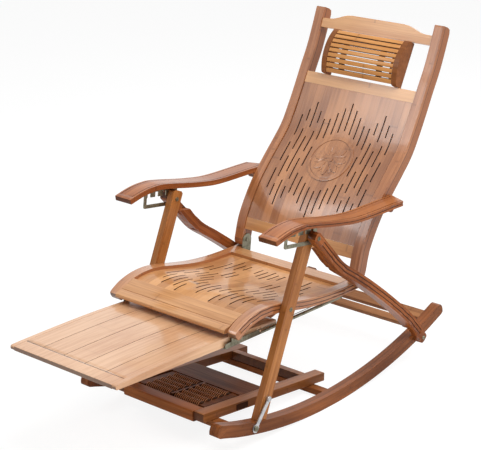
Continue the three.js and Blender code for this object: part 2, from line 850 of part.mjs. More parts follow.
const backLine = courseFrom(backCourseShares, hinge, backReach, backRise);
const backLineLength = backLine.getLength();
const backSteps = 12;
const postHalf = postDepth / 2;
const frontLineSteps = 24;
const backFront = new THREE.SplineCurve(
  band(backLine, 0, backLineLength, postHalf, postHalf, frontLineSteps).slice(0, frontLineSteps + 1));
const armPivot = sample(backLine, armPivotAt).at;
const armPivotBlind = 25;
const postOutline = fillet(
  band(backLine, 0, backLineLength, postHalf, -postHalf, backSteps),
  { [backSteps]: postTopRound / 4, [backSteps + 1]: postTopRound });

for (const [side, s] of sides) {
  const post = profile(postOutline, s * postIn, s * postOut)
    .add(profile(circleOutline(hinge, postHalf), s * postIn, s * postOut))
    .subtract(boltHole(s * (postIn - overrun), s * (postIn + hingePinDepth + touchGap), hinge))
    .subtract(boltHole(s * (postOut - armPivotBlind - touchGap), s * (postOut + overrun), armPivot));
  addPart(`back_post_${side}`, post, postBamboo);
}

const backHalf = postIn - touchGap;
const panelFrom = bottomRailAt + bottomRailHeight + touchGap;
const panelTo = panelFrom + backPanelHeight;
const midRailFrom = panelTo + touchGap;
const midRailTo = midRailFrom + midRailHeight;
const crestFrom = midRailTo + headrestOpening;
const crestTo = crestFrom + crestHeight;
const railSteps = 3;

function backRail(from, to) {
  return profile(band(backFront, from, to, -backRecess, -backRecess - backRailThick, railSteps),
    -backHalf, backHalf);
}

addPart('back_bottom_rail', backRail(bottomRailAt, bottomRailAt + bottomRailHeight), postBamboo);
addPart('back_mid_rail', backRail(midRailFrom, midRailTo), postBamboo);

const crestMiddle = (crestFrom + crestTo) / 2;
const crestOutline = fillet([
  point(-backHalf, -crestHeight / 2), point(backHalf, -crestHeight / 2),
  point(backHalf, crestHeight / 2),
  point(crestShoulderHalf, crestHeight / 2), point(crestFlatHalf, crestHeight / 2 + crestRise),
  point(-crestFlatHalf, crestHeight / 2 + crestRise), point(-crestShoulderHalf, crestHeight / 2),
  point(-backHalf, crestHeight / 2),
], { 3: crestRise, 4: crestRise, 5: crestRise, 6: crestRise });
addPart('back_crest_rail', plate(backFront, crestMiddle, crestOutline, -backRecess - backRailThick,
  -backRecess), postBamboo);

const panelHalf = postIn - backPanelSideGap;
const panelSteps = 9;
const backPanel = profile(
  band(backFront, panelFrom, panelTo, -backRecess, -backRecess - backPanelThick, panelSteps),
    -panelHalf, panelHalf);
addPart('back_panel', cutAll(backPanel, slotCutters(
  backFront, panelFrom, panelTo, backSlotRunShares, overrun, -backRecess - backPanelThick - overrun)),
    panelBamboo);

// The medallion is a thin disc that follows the panel, with a ring and a rosette cut into it.
const medallionPlace = panelFrom + medallionAt;
const medallionUnder = -backRecess + touchGap * 2;
const medallionOver = medallionUnder + medallionRise;
const discSides = 18;
const ringOuter = medallionRadius - 7;
const ringInner = medallionRadius - 10;
const petalLength = 44;
const petalWidth = 15;
const petalStart = 13;
const medallionSteps = 3;

function onMedallion(outline) {
  return plate(backFront, medallionPlace, outline, -medallionRadius, medallionRadius);
}

function medallionBand(over, under) {
  return profile(
    band(backFront, medallionPlace - medallionRadius - overrun,
      medallionPlace + medallionRadius + overrun, over, under,
      medallionSteps), -medallionRadius - overrun, medallionRadius + overrun);
}

function petalOutline(angle) {
  const way = point(Math.cos(angle), Math.sin(angle));
  const side = point(-way.y, way.x);
  const at = (out, across) => way.clone().multiplyScalar(out).addScaledVector(side, across);
  const middle = petalStart + petalLength / 2;
  const tip = at(petalStart + petalLength, 0);
  const near = new THREE.QuadraticBezierCurve(at(petalStart, 0), at(middle, petalWidth), tip);
  const far = new THREE.QuadraticBezierCurve(tip, at(middle, -petalWidth), at(petalStart, 0));
  return [...near.getPoints(filletSteps), ...far.getPoints(filletSteps).slice(1, -1)];
}

const centreOfDisc = point(0, 0);
let carving = onMedallion(circleOutline(centreOfDisc, ringOuter, discSides))
  .subtract(onMedallion(circleOutline(centreOfDisc, ringInner, discSides)))
  .add(onMedallion(circleOutline(centreOfDisc, petalStart - fluteWidth)));
for (let i = 0; i < petals; i += 1) {
  carving = carving.add(onMedallion(petalOutline((i / petals) * 2 * Math.PI)));
}
const medallion = medallionBand(medallionOver, medallionUnder)
  .intersect(onMedallion(circleOutline(centreOfDisc, medallionRadius, discSides)))
  .subtract(carving.intersect(medallionBand(medallionOver + overrun,
    medallionOver - medallionCutDepth)));
addPart('back_medallion', medallion, panelBamboo);

// Headrest

const headFrom = midRailTo + touchGap * 2;
const headTo = crestFrom - touchGap * 2;
const headMiddle = (headFrom + headTo) / 2;
const headHalf = (headTo - headFrom) / 2;
const headBack = -backRecess - headrestSink;
const headSteps = 6;
// The cushion's front swells from the ends to the middle as a part of a circle.
const headBulge = headrestMidDepth - headrestEndDepth;
const headRadius = (headHalf ** 2 + headBulge ** 2) / (2 * headBulge);
const headCentreDepth = headrestMidDepth - headRadius;

function headFrontDepth(t) {
  return headCentreDepth + Math.sqrt(headRadius ** 2 - t ** 2);
}

function headPoint(t, depth) {
  const { at, way, side } = sample(backFront, headMiddle);
  return at.clone().addScaledVector(way, t).addScaledVector(side, depth);
}

// An arc along the cushion's front, between two heights, at a depth below its surface.
function headArc(from, to, under) {
  return Array.from({ length: headSteps + 1 }, (_, i) => {
    const t = from + ((to - from) * i) / headSteps;
    return headPoint(t, headFrontDepth(t) - under);
  });
}

const headOutline = fillet(
  [headPoint(-headHalf, headBack), ...headArc(-headHalf, headHalf, 0), headPoint(headHalf, headBack)],
  { 1: headrestEndWidth / 2, [headSteps + 1]: headrestEndWidth / 2 });
for (const [side, s] of sides) {
  const end = profile(headOutline, s * (headrestHalf - headrestEndWidth), s * headrestHalf);
  addPart(`headrest_end_${side}`, end, postBamboo);
}

const headSlatRun = 2 * (headHalf - headrestSlatGap);
const headSlatHeight = (headSlatRun - (headrestSlats - 1) * headrestSlatGap) / headrestSlats;
const headSlatHalf = headrestHalf - headrestEndWidth - touchGap;
const battenHalf = headHalf - headSlatHeight;
const headShell = profile(
  [...headArc(-headHalf, headHalf, 0), ...headArc(headHalf, -headHalf, headrestSlatThick)],
  -headSlatHalf, headSlatHalf);
const headBattens = sides.map(([, s]) => profile([
  ...headArc(-battenHalf, battenHalf, headrestSlatThick / 2),
  ...headArc(battenHalf, -battenHalf, headrestSlatThick + battenThick),
], s * battenAt - battenWidth / 2, s * battenAt + battenWidth / 2));
const headGaps = Array.from({ length: headrestSlats + 1 }, (_, i) => {
  const low = -headHalf + i * (headSlatHeight + headrestSlatGap);
  const from = i === 0 ? low - overrun : low;
  const to = i === headrestSlats ? headHalf + overrun : low + headrestSlatGap;
  return profile([
    headPoint(from, headBack), headPoint(to, headBack), headPoint(to, headrestMidDepth + overrun),
    headPoint(from, headrestMidDepth + overrun),
  ], -headSlatHalf - overrun, headSlatHalf + overrun);
});
const headSlats = headBattens.reduce((whole, batten) => whole.add(batten), cutAll(headShell, headGaps));
addPart('headrest_slats', headSlats, lightBamboo);

// Armrests

const armRearY = armPivot.x + armRearReach;
const armFrontY = armRearY - armLength;

// The armrest's course is stretched so that it passes the pin and the pivot at their named heights.
function armCurve(rearZ, wave) {
  return courseFrom(armCourseShares, point(armFrontY, rearZ), armLength, wave);
}

const armTrial = armCurve(0, 1);
const armShareAtPin = heightAtY(armTrial, armPin.x);
const armShareAtPivot = heightAtY(armTrial, armPivot.x);
const armOverPin = armPin.y + armPinDrop + armThick;
const armOverPivot = armPivot.y + armPivotDrop + armThick;
const armWave = (armOverPin - armOverPivot) / (armShareAtPin - armShareAtPivot);
const armCourse = armCurve(armOverPin - armShareAtPin * armWave, armWave);
const armCourseLength = armCourse.getLength();
const earTop = heightAtY(armCourse, armPivot.x) - armThick / 2;
const earShoulder = earTop - armThick / 2 - slack * 2;
const armSteps = 10;
const armOutline = fillet(
  band(armCourse, 0, armCourseLength, 0, -armThick, armSteps),
  bandCorners(armSteps, armEndRound, armEndRound));

function armPlan(s) {
  return [
    point(s * armIn, armFrontY - overrun), point(s * (armOut - armFrontChamfer), armFrontY - overrun),
    point(s * armOut, armFrontY + armFrontChamfer), point(s * armOut, armRearY - armRearChamfer),
    point(s * armIn, armRearY),
  ];
}

function armGroove(x, top, bottom, width, s) {
  return profile(band(armCourse, armThick, armCourseLength - armThick, top, bottom, armSteps), s * x,
    s * (x + width));
}

const rackWay = point(Math.cos(rackSlopeAngle), -Math.sin(rackSlopeAngle));
const rackUp = point(-rackWay.y, rackWay.x);

function onRack(along, up) {
  return armPin.clone().addScaledVector(rackWay, along).addScaledVector(rackUp, up);
}

function rackArea(a0, a1, u0, u1) {
  return [onRack(a0, u0), onRack(a1, u0), onRack(a1, u1), onRack(a0, u1)];
}

const rackLow = -boltRadius - rackPinBelow;
const rackTeeth = boltRadius + rackPinAbove;
const rackOutline = fillet(
  rackArea(-rackFrontReach, rackRearReach, rackLow - rackBar, rackRise),
    { 0: rackBar / 2, 1: rackBar / 2 });
const rackWindow = rackArea(-rackFrontReach + rackBar, rackRearReach - rackBar, rackLow, rackTeeth);

for (const [side, s] of sides) {
  const board = profile(armOutline, s * armIn, s * armOut)
    .intersect(plan(armPlan(s), armPin.y - armLength, armPin.y + armLength));
  const ear = profile([
    point(armPivot.x - armBlockSpan / 2, earShoulder), point(armPivot.x - armPivotRound, armPivot.y),
    point(armPivot.x + armPivotRound, armPivot.y), point(armPivot.x + armBlockSpan / 2, earShoulder),
    point(armPivot.x + armBlockSpan / 2, earTop), point(armPivot.x - armBlockSpan / 2, earTop),
  ], s * armIn, s * (armIn + armBlockWidth))
    .add(profile(circleOutline(armPivot, armPivotRound), s * armIn, s * (armIn + armBlockWidth)));
  const groove = profile(rackArea(-rackFrontReach - touchGap, rackRearReach + touchGap, 0,
    rackRise + touchGap),
    s * (rackIn - touchGap), s * (rackOut + touchGap));
  const arm = board.add(ear)
    .subtract(boltHole(s * (armIn - overrun), s * (armIn + armBlockWidth + overrun), armPivot))
    .subtract(groove)
    .subtract(armGroove(armIn + armGrooveInset, slack, -armGrooveDepth, armGrooveWidth, s))
    .subtract(armGroove(armOut - armGrooveInset - armGrooveWidth, slack, -armGrooveDepth,
      armGrooveWidth, s))
    .subtract(armGroove(armOut - armGrooveDepth, -armThick / 2 + armGrooveWidth / 2,
      -armThick / 2 - armGrooveWidth / 2,
      armGrooveDepth + overrun, s));
  addPart(`armrest_${side}`, arm, postBamboo);
  addPart(`arm_pivot_bolt_${side}`,
    bolt(s * (postOut - armPivotBlind), s * (armIn + armBlockWidth), boltRadius, armPivot), zincSteel);
  const notches = Array.from({ length: rackNotches }, (_, i) => {
    const at = -i * rackNotchPitch;
    return profile(rackArea(at - rackNotchWidth / 2, at + rackNotchWidth / 2, 0,
      rackTeeth + rackNotchDepth),
      s * (rackIn - overrun), s * (rackOut + overrun));
  });
  const rack = cutAll(
    profile(rackOutline, s * rackIn, s * rackOut)
      .subtract(profile(rackWindow, s * (rackIn - overrun), s * (rackOut + overrun))), notches);
  addPart(`arm_rack_${side}`, rack, zincSteel);
}

// Latches

const latchWay = latchFoot.clone().sub(latchTop).normalize();
const latchSide = point(-latchWay.y, latchWay.x);
const latchLength = latchFoot.distanceTo(latchTop);
const strapIn = rockerOut + slack / 2;
const strapOut = strapIn + strapThick;
const studCap = 2.5;

function onLatch(along, across) {
  return latchTop.clone().addScaledVector(latchWay, along).addScaledVector(latchSide, across);
}

// The hook is open towards the side that leads when the strap swings forwards and up.
const hookOutline = [
  onLatch(latchLength - boltRadius - slack, -boltRadius),
  onLatch(latchLength + boltRadius + slack, -boltRadius),
  onLatch(latchLength + boltRadius + slack, strapWidth * 2),
  onLatch(latchLength - boltRadius - slack * 2, strapWidth * 2),
];
for (const [side, s] of sides) {
  const strap = profile([
    onLatch(0, -strapWidth / 2), onLatch(latchLength, -strapWidth / 2),
    onLatch(latchLength, strapWidth / 2), onLatch(0, strapWidth / 2),
  ], s * strapIn, s * strapOut)
    .add(profile(circleOutline(latchTop, strapEye), s * strapIn, s * strapOut))
    .add(profile(circleOutline(latchFoot, strapWidth), s * strapIn, s * strapOut))
    .subtract(profile(hookOutline, s * (strapIn - overrun), s * (strapOut + overrun)))
    .add(rod(s * (legOut + touchGap), s * (strapOut + studCap), boltRadius, latchTop.x, latchTop.y))
    .add(rod(s * (legOut + touchGap), s * (strapIn + touchGap), strapEye, latchTop.x, latchTop.y))
    .add(rod(s * (strapOut - touchGap), s * (strapOut + studCap), strapEye - slack, latchTop.x,
      latchTop.y));
  addPart(`latch_strap_${side}`, strap, brightSteel);
  const stud = rod(s * (rockerOut + touchGap), s * (strapOut + touchGap * 2 + studCap),
    boltRadius - slack, latchFoot.x, latchFoot.y)
    .add(rod(s * (strapOut + touchGap * 2), s * (strapOut + touchGap * 2 + studCap), strapEye,
      latchFoot.x, latchFoot.y));
  addPart(`latch_stud_${side}`, stud, zincSteel);
}

// Footboard and its guides

function boardBottom(y) {
  return boardBottomZ - (y - boardRunStartY) * boardSlope;
}

const boardRearY = boardFrontY + boardLength;
const boardCourse = courseFrom(boardCourseShares, point(boardFrontY, boardRearTopZ), boardLength,
  boardWave);
const boardCourseLength = boardCourse.getLength();
const boardSteps = 6;
const boardTop = band(boardCourse, 0, boardCourseLength, 0, 0, boardSteps).slice(0, boardSteps + 1);
const boardLipEnd = boardFrontY + boardLipLength;
const boardLipBottom = heightAtY(boardCourse, boardFrontY) - boardFrontThick;
const boardRunDrop = 2;
const boardRailOutline = fillet([
  ...boardTop, point(boardRearY, boardBottom(boardRearY)),
  point(boardRunStartY, boardBottom(boardRunStartY)),
  point(boardLipEnd, boardLipBottom - boardRunDrop), point(boardFrontY, boardLipBottom),
], { 0: boardNose, [boardSteps + 4]: boardNose });
const boardPinPlace = point(
  boardFrontY + guidePinAt, boardBottom(boardFrontY + guidePinAt) + boardRailDepth / 2);
const guideIn = railIn - touchGap - guideThick;
const guideOut = railIn - touchGap;

for (const [side, s] of sides) {
  const rail = profile(boardRailOutline, s * (boardHalf - boardRailWidth), s * boardHalf)
    .add(rod(s * (boardHalf - touchGap), s * (guideOut - touchGap / 2), guidePinRadius, boardPinPlace.x,
      boardPinPlace.y));
  addPart(`footboard_rail_${side}`, rail, lightBamboo);
}

const boardPanelHalf = boardHalf - boardRailWidth - touchGap;
const boardFrontFace = boardTop[0];
const boardGrooves = [];
for (let k = 1; k < planks; k += 1) {
  const x = k * plankPitch - boardHalf;
  boardGrooves.push(profile(
    band(boardCourse, boardLipLength, boardCourseLength + overrun, slack, -plankGrooveDepth,
      boardSteps),
    x - plankGroove / 2, x + plankGroove / 2));
}
boardGrooves.push(profile(
  band(boardCourse, boardLipLength, boardLipLength + plankGroove, slack, -plankGrooveDepth, 1),
  -boardPanelHalf - overrun, boardPanelHalf + overrun));
const panelWithLip = profile(
  [...boardTop, ...band(boardCourse, boardLipLength, boardCourseLength, 0, -boardPanelThick,
    boardSteps).slice(boardSteps + 1),
  point(boardLipEnd, boardLipBottom), point(boardFrontFace.x, boardLipBottom)],
  -boardPanelHalf, boardPanelHalf);
addPart('footboard_panel', cutAll(panelWithLip, boardGrooves), lightBamboo);

function railBottom(y) {
  const along = alongAtY(seatCourse, y);
  return sample(seatCourse, along).at.y - seatRailDepthAt(along / seatCourseLength);
}

// The guides' tabs reach up beside the rails, to just under the front rail or the seat panel.
function tabTop(y) {
  const besideFrontRail = y < seatPanelFrontY;
  const under = besideFrontRail ? seatFrontRailDepth + seatRailNose / 2 : seatPanelRecess + seatPanelThick;
  return seatTop(y) - under - slack;
}

const guideSlotHalf = guidePinRadius + slack;
const boardRun = Math.hypot(1, boardSlope);
const travelY = boardTravel / boardRun;

for (const [side, s] of sides) {
  const low = (y) => boardBottom(y) - slack;
  const web = [
    point(guideFrontY, low(guideFrontY) - guideThick), point(guideRearY, low(guideRearY) - guideThick),
    point(guideRearY, low(guideRearY) + guideWebRise),
    point(guideFrontY, low(guideFrontY) + guideWebRise),
  ];
  const slotStart = boardPinPlace.x - guideSlotHalf;
  const slotEnd = boardPinPlace.x + travelY + guideSlotHalf;
  const slotMid = (y) => boardPinPlace.y - (y - boardPinPlace.x) * boardSlope;
  const slot = [
    point(slotStart, slotMid(slotStart) - guideSlotHalf),
    point(slotEnd, slotMid(slotEnd) - guideSlotHalf),
    point(slotEnd, slotMid(slotEnd) + guideSlotHalf),
    point(slotStart, slotMid(slotStart) + guideSlotHalf),
  ];
  const flange = [
    point(guideFrontY, low(guideFrontY) - guideThick), point(guideRearY, low(guideRearY) - guideThick),
    point(guideRearY, low(guideRearY)), point(guideFrontY, low(guideFrontY)),
  ];
  const tabs = [guideFrontY + guideTab, (guideFrontY + guideRearY) / 2,
    guideRearY - guideTab * 2].map((y) => profile([
    point(y, low(y)), point(y + guideTab, low(y + guideTab)), point(y + guideTab, tabTop(y + guideTab)),
    point(y, tabTop(y)),
  ], s * guideIn, s * guideOut));
  const guide = tabs.reduce((whole, tab) => whole.add(tab), profile(web, s * guideIn, s * guideOut))
    .add(profile(flange, s * (guideOut - guideFlange), s * guideOut))
    .subtract(profile(slot, s * (guideIn - overrun), s * (guideOut + overrun)));
  addPart(`footboard_guide_${side}`, guide, zincSteel);
}

// Foot roller frame

const rollerRailIn = rollerFrameHalf - rollerRailWidth;
const rollerAxisDrop = rollerFrameDepth / 2;

function frameArea(y0, y1, topDrop, bottomDrop) {
  return [
    point(y0, rollerFrameTop(y0) - topDrop), point(y1, rollerFrameTop(y1) - topDrop),
    point(y1, rollerFrameTop(y1) - bottomDrop), point(y0, rollerFrameTop(y0) - bottomDrop),
  ];
}

const tenonY = rollerFirstY + trayTenonFrom;
const tenonTop = rollerFrameDepth - trayTenonHeight - trayRunner / 2;
const tenonBottom = rollerFrameDepth - trayRunner / 2;
for (const [side, s] of sides) {
  const rail = profile(
    fillet(frameArea(rollerFrameFrontY, rollerFrameRearY, 0, rollerFrameDepth),
      { 0: trayRunner, 3: trayRunner }),
    s * rollerRailIn, s * rollerFrameHalf)
    .subtract(profile(
      frameArea(tenonY - touchGap, tenonY + trayTenonSpan + touchGap, tenonTop - touchGap,
        tenonBottom + touchGap),
      s * (rollerRailIn - overrun), s * (rollerFrameHalf + overrun)));
  addPart(`roller_rail_${side}`, rail, darkBamboo);
}

const barHalf = rollerRailIn - touchGap;
const frontBarRear = frontStretcherY - touchGap;
addPart('roller_front_bar', profile(fillet([
  ...frameArea(frontBarRear - rollerFrontBarSpan, frontBarRear, 0,
    rollerFrameDepth + rollerFrontBarLip),
], { 0: trayRunner, 3: trayRunner }), -barHalf, barHalf), brownWood);
addPart('roller_mid_bar', profile(
  frameArea(rollerMidBarY, rollerMidBarY + rollerMidBarSpan, 0, rollerFrameDepth / 2 + trayRunner),
    -barHalf, barHalf), brownWood);
addPart('roller_rear_bar', profile(
  frameArea(rollerRearBarY, rollerRearBarY + rollerRearBarSpan, 0, rollerFrameDepth), -barHalf,
    barHalf), darkBamboo);

const trayFront = rollerFirstY - rollerRadius;
const trayRear = rollerMidBarY - touchGap;
const axleHole = rollerAxleRadius + pinClearance;

function trayStrip(x0, x1, y0, y1, top) {
  return profile(frameArea(y0, y1, top, rollerFrameDepth), x0, x1);
}

const traySideIn = rollerOuterX + slack;
let tray = trayStrip(-trayDividerWidth / 2, trayDividerWidth / 2, trayFront, trayRear, 0)
  .add(profile(frameArea(trayRear - trayRimSpan, trayRear, 0, rollerFrameDepth), -barHalf, barHalf));
for (const [, s] of sides) {
  tray = tray
    .add(trayStrip(s * traySideIn, s * (traySideIn + traySideWidth), trayFront, trayRear,
      trayRunner / 2))
    .add(profile(frameArea(tenonY, tenonY + trayTenonSpan, tenonTop, tenonBottom),
      s * (traySideIn + traySideWidth / 2),
      s * rollerFrameHalf));
}

function rollerAxis(i) {
  const y = rollerFirstY + i * rollerPitch;
  return point(y, rollerFrameTop(y) - rollerAxisDrop + trayRunner / 2);
}

for (let i = 0; i < rollers; i += 1) {
  const axis = rollerAxis(i);
  tray = tray.subtract(rod(-barHalf, barHalf, axleHole, axis.x, axis.y, rollerSides));
}
addPart('roller_tray', tray, brownWood);

const axleEnd = rollerRailIn - slack;
const beadLength = (rollerOuterX - rollerInnerX) / rollerBeads;

function barrelStations() {
  const stations = [[rollerInnerX, rollerAxleRadius], [rollerInnerX, rollerNeck]];
  for (let i = 0; i < rollerBeads; i += 1) {
    const start = rollerInnerX + i * beadLength;
    stations.push([start + beadLength / 2, rollerRadius], [start + beadLength, rollerNeck]);
  }
  stations.push([rollerOuterX, rollerAxleRadius]);
  return stations;
}

const barrel = barrelStations();
const rollerStations = [
  [-axleEnd, 0], [-axleEnd, rollerAxleRadius],
  ...barrel.map(([x, r]) => [-x, r]).reverse(), ...barrel,
  [axleEnd, rollerAxleRadius], [axleEnd, 0],
];
for (let i = 0; i < rollers; i += 1) {
  const axis = rollerAxis(i);
  addPart(`foot_roller_${i + 1}`, turned(rollerStations, axis.x, axis.y, rollerSides), brownWood);
}

export default chair;
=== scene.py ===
"""Looks of a folding rocking chair in laminated bamboo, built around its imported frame."""

import logging
import math
from dataclasses import dataclass
from enum import Enum
from functools import cached_property
from typing import Any, Callable, Iterable

import bmesh
import bpy
import numpy as np
from mathutils import Matrix, Vector
from mathutils.bvhtree import BVHTree


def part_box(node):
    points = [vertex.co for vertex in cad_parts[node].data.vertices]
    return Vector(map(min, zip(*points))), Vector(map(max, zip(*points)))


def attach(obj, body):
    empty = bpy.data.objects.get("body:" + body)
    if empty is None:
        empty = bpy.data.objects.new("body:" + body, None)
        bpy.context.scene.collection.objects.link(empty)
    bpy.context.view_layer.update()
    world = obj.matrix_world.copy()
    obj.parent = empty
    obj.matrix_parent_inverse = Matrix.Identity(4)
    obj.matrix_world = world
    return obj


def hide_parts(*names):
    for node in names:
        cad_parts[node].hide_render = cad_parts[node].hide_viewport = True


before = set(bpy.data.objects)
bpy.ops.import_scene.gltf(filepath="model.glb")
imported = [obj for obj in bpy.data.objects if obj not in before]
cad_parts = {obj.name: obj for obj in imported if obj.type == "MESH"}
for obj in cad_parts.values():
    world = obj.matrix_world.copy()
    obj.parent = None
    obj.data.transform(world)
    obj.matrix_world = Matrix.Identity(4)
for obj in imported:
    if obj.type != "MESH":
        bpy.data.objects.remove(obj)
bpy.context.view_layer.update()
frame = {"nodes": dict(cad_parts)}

logging.basicConfig(level=logging.INFO, format="%(name)s: %(message)s")
log = logging.getLogger("rocking chair")

Piece = bpy.types.Object
Colour = tuple[float, float, float]
Point = tuple[float, float, float]
SIDES = (("left", 1.0), ("right", -1.0))
OUTER, INNER = (1.0, -1.0), (-1.0, 1.0)
WELD = 0.00002
SMOOTH_ANGLE = 38.0


def linear(colour: Colour) -> Colour:
    """Turns a screen's red, green and blue, 0 to 255, into the renderer's linear values."""
    shares = [value / 255 for value in colour]
    return tuple(s / 12.92 if s <= 0.04045 else ((s + 0.055) / 1.055) ** 2.4 for s in shares)


# Shader maths


def maths(operation: str, swapped: bool = False) -> Callable[..., "Wire"]:
    """Makes a method of Wire that adds a Math node.

    Args:
        operation: The node's operation.
        swapped: Whether the wire is the last value, as where a number stands before it.

    Returns:
        The method.
    """

    def method(wire: "Wire", *others: Any) -> "Wire":
        """Adds the node and hands its output back."""
        values = [*others, wire] if swapped else [wire, *others]
        return wire.graph.make("ShaderNodeMath", values, operation=operation)

    return method


class Wire:
    """A node's output that takes part in plain Python arithmetic.

    over is 1 above a limit, bigger the larger of two values, whole the value rounded down, part its
    fraction and size the value without its sign.
    """

    def __init__(self, graph: "Graph", socket: bpy.types.NodeSocket) -> None:
        """Keeps the output socket and the graph that it lives in."""
        self.graph = graph
        self.socket = socket

    __add__, __radd__ = maths("ADD"), maths("ADD", swapped=True)
    __sub__, __rsub__ = maths("SUBTRACT"), maths("SUBTRACT", swapped=True)
    __mul__, __rmul__ = maths("MULTIPLY"), maths("MULTIPLY", swapped=True)
    __truediv__ = maths("DIVIDE")
    over, bigger = maths("GREATER_THAN"), maths("MAXIMUM")
    whole, part, size = maths("FLOOR"), maths("FRACT"), maths("ABSOLUTE")

    def eased(self, low: float, high: float) -> "Wire":
        """A soft step from 0 at low to 1 at high."""
        values = [self, low, high, 0.0, 1.0]
        return self.graph.make("ShaderNodeMapRange", values, interpolation_type="SMOOTHSTEP")

    def beside(self, out: str) -> "Wire":
        """Another output of the same node."""
        return Wire(self.graph, self.socket.node.outputs[out])


class Graph:
    """A material's or a world's node tree and the ways to add to it."""

    def __init__(self, owner: bpy.types.Material | bpy.types.World) -> None:
        """Empties the owner's tree.

        Args:
            owner: The material or world.
        """
        owner.use_nodes = True
        self.owner = owner
        self.tree = owner.node_tree
        self.tree.nodes.clear()

    def fill(self, node: bpy.types.Node, values: dict[int | str, Any]) -> None:
        """Links or sets a node's inputs.

        Args:
            node: The node.
            values: Wires, numbers or colours, by the input's number or name.
        """
        for key, value in values.items():
            if isinstance(value, Wire):
                self.tree.links.new(value.socket, node.inputs[key])
                continue
            node.inputs[key].default_value = (*value, 1.0) if isinstance(value, tuple) else value

    def make(
        self, kind: str, values: Iterable[Any] = (), out: int | str = 0, **settings: Any
    ) -> Wire:
        """Adds a node.

        Args:
            kind: The node's type.
            values: Wires, numbers or colours for its inputs, in order, or a dictionary by name.
            out: The output that is handed back.
            **settings: Properties that are set before anything is linked.

        Returns:
            The output.
        """
        node = self.tree.nodes.new(kind)
        for key, value in settings.items():
            setattr(node, key, value)
        self.fill(node, values if isinstance(values, dict) else dict(enumerate(values)))
        return Wire(self, node.outputs[out])

    def shade(self, values: dict[str, Any]) -> Wire:
        """Adds a surface shader with the given inputs."""
        return self.make("ShaderNodeBsdfPrincipled", values)

    def show(self, surface: Wire) -> bpy.types.Material | bpy.types.World:
        """Adds the tree's output node.

        Args:
            surface: The shader that it shows.

        Returns:
            The tree's owner.
        """
        kind = "World" if isinstance(self.owner, bpy.types.World) else "Material"
        self.fill(self.tree.nodes.new(f"ShaderNodeOutput{kind}"), {"Surface": surface})
        return self.owner

    def blend(self, share: Wire, first: Any, second: Any) -> Wire:
        """Mixes two colours; share says how much of the second one shows."""
        return self.make("ShaderNodeMix", {0: share, 6: first, 7: second}, 2, data_type="RGBA")

    def split(self, vector: Wire) -> tuple[Wire, Wire, Wire]:
        """The three parts of a vector."""
        return tuple(self.make("ShaderNodeSeparateXYZ", [vector], axis) for axis in range(3))

    def place(self) -> tuple[Wire, Wire, Wire]:
        """The point's x, y and z in the object."""
        return self.split(self.make("ShaderNodeTexCoord", out="Object"))

    def facing(self) -> tuple[Wire, Wire, Wire]:
        """The parts of the way that the surface faces."""
        return self.split(self.make("ShaderNodeTexCoord", out="Normal"))

    def kept(self, name: str, out: str) -> Wire:
        """A value that a piece's mesh carries, as Vector or Fac."""
        return self.make("ShaderNodeAttribute", (), out, attribute_name=name)

    def noise(self, place: Iterable[Any], detail: float = 2.0, roughness: float = 0.5) -> Wire:
        """Smooth noise around a half.

        Args:
            place: The three coordinates, already scaled.
            detail: Octaves.
            roughness: How strong the finer octaves are.

        Returns:
            The noise.
        """
        at = self.make("ShaderNodeCombineXYZ", place)
        values = {"Vector": at, "Scale": 1.0, "Detail": detail, "Roughness": roughness}
        return self.make("ShaderNodeTexNoise", values)

    def chance(self, first: Any, second: Any) -> Wire:
        """A fixed random number for each pair of whole numbers."""
        at = self.make("ShaderNodeCombineXYZ", [first, second, 0.0])
        return self.make("ShaderNodeTexWhiteNoise", {"Vector": at}, noise_dimensions="2D")

    def bump(self, height: Wire, depth: float, strength: float) -> Wire:
        """A fine relief, its depth in metres and how much of it shows."""
        values = {"Height": height, "Distance": depth, "Strength": strength}
        return self.make("ShaderNodeBump", values)


# Finishes


class Run(Enum):
    """The way that a piece's grain runs; a number is its turn in the side view, in degrees."""

    ACROSS = "across"
    COURSE = "course"
    FRONT_LEG = 67.0
    BASE = -6.3


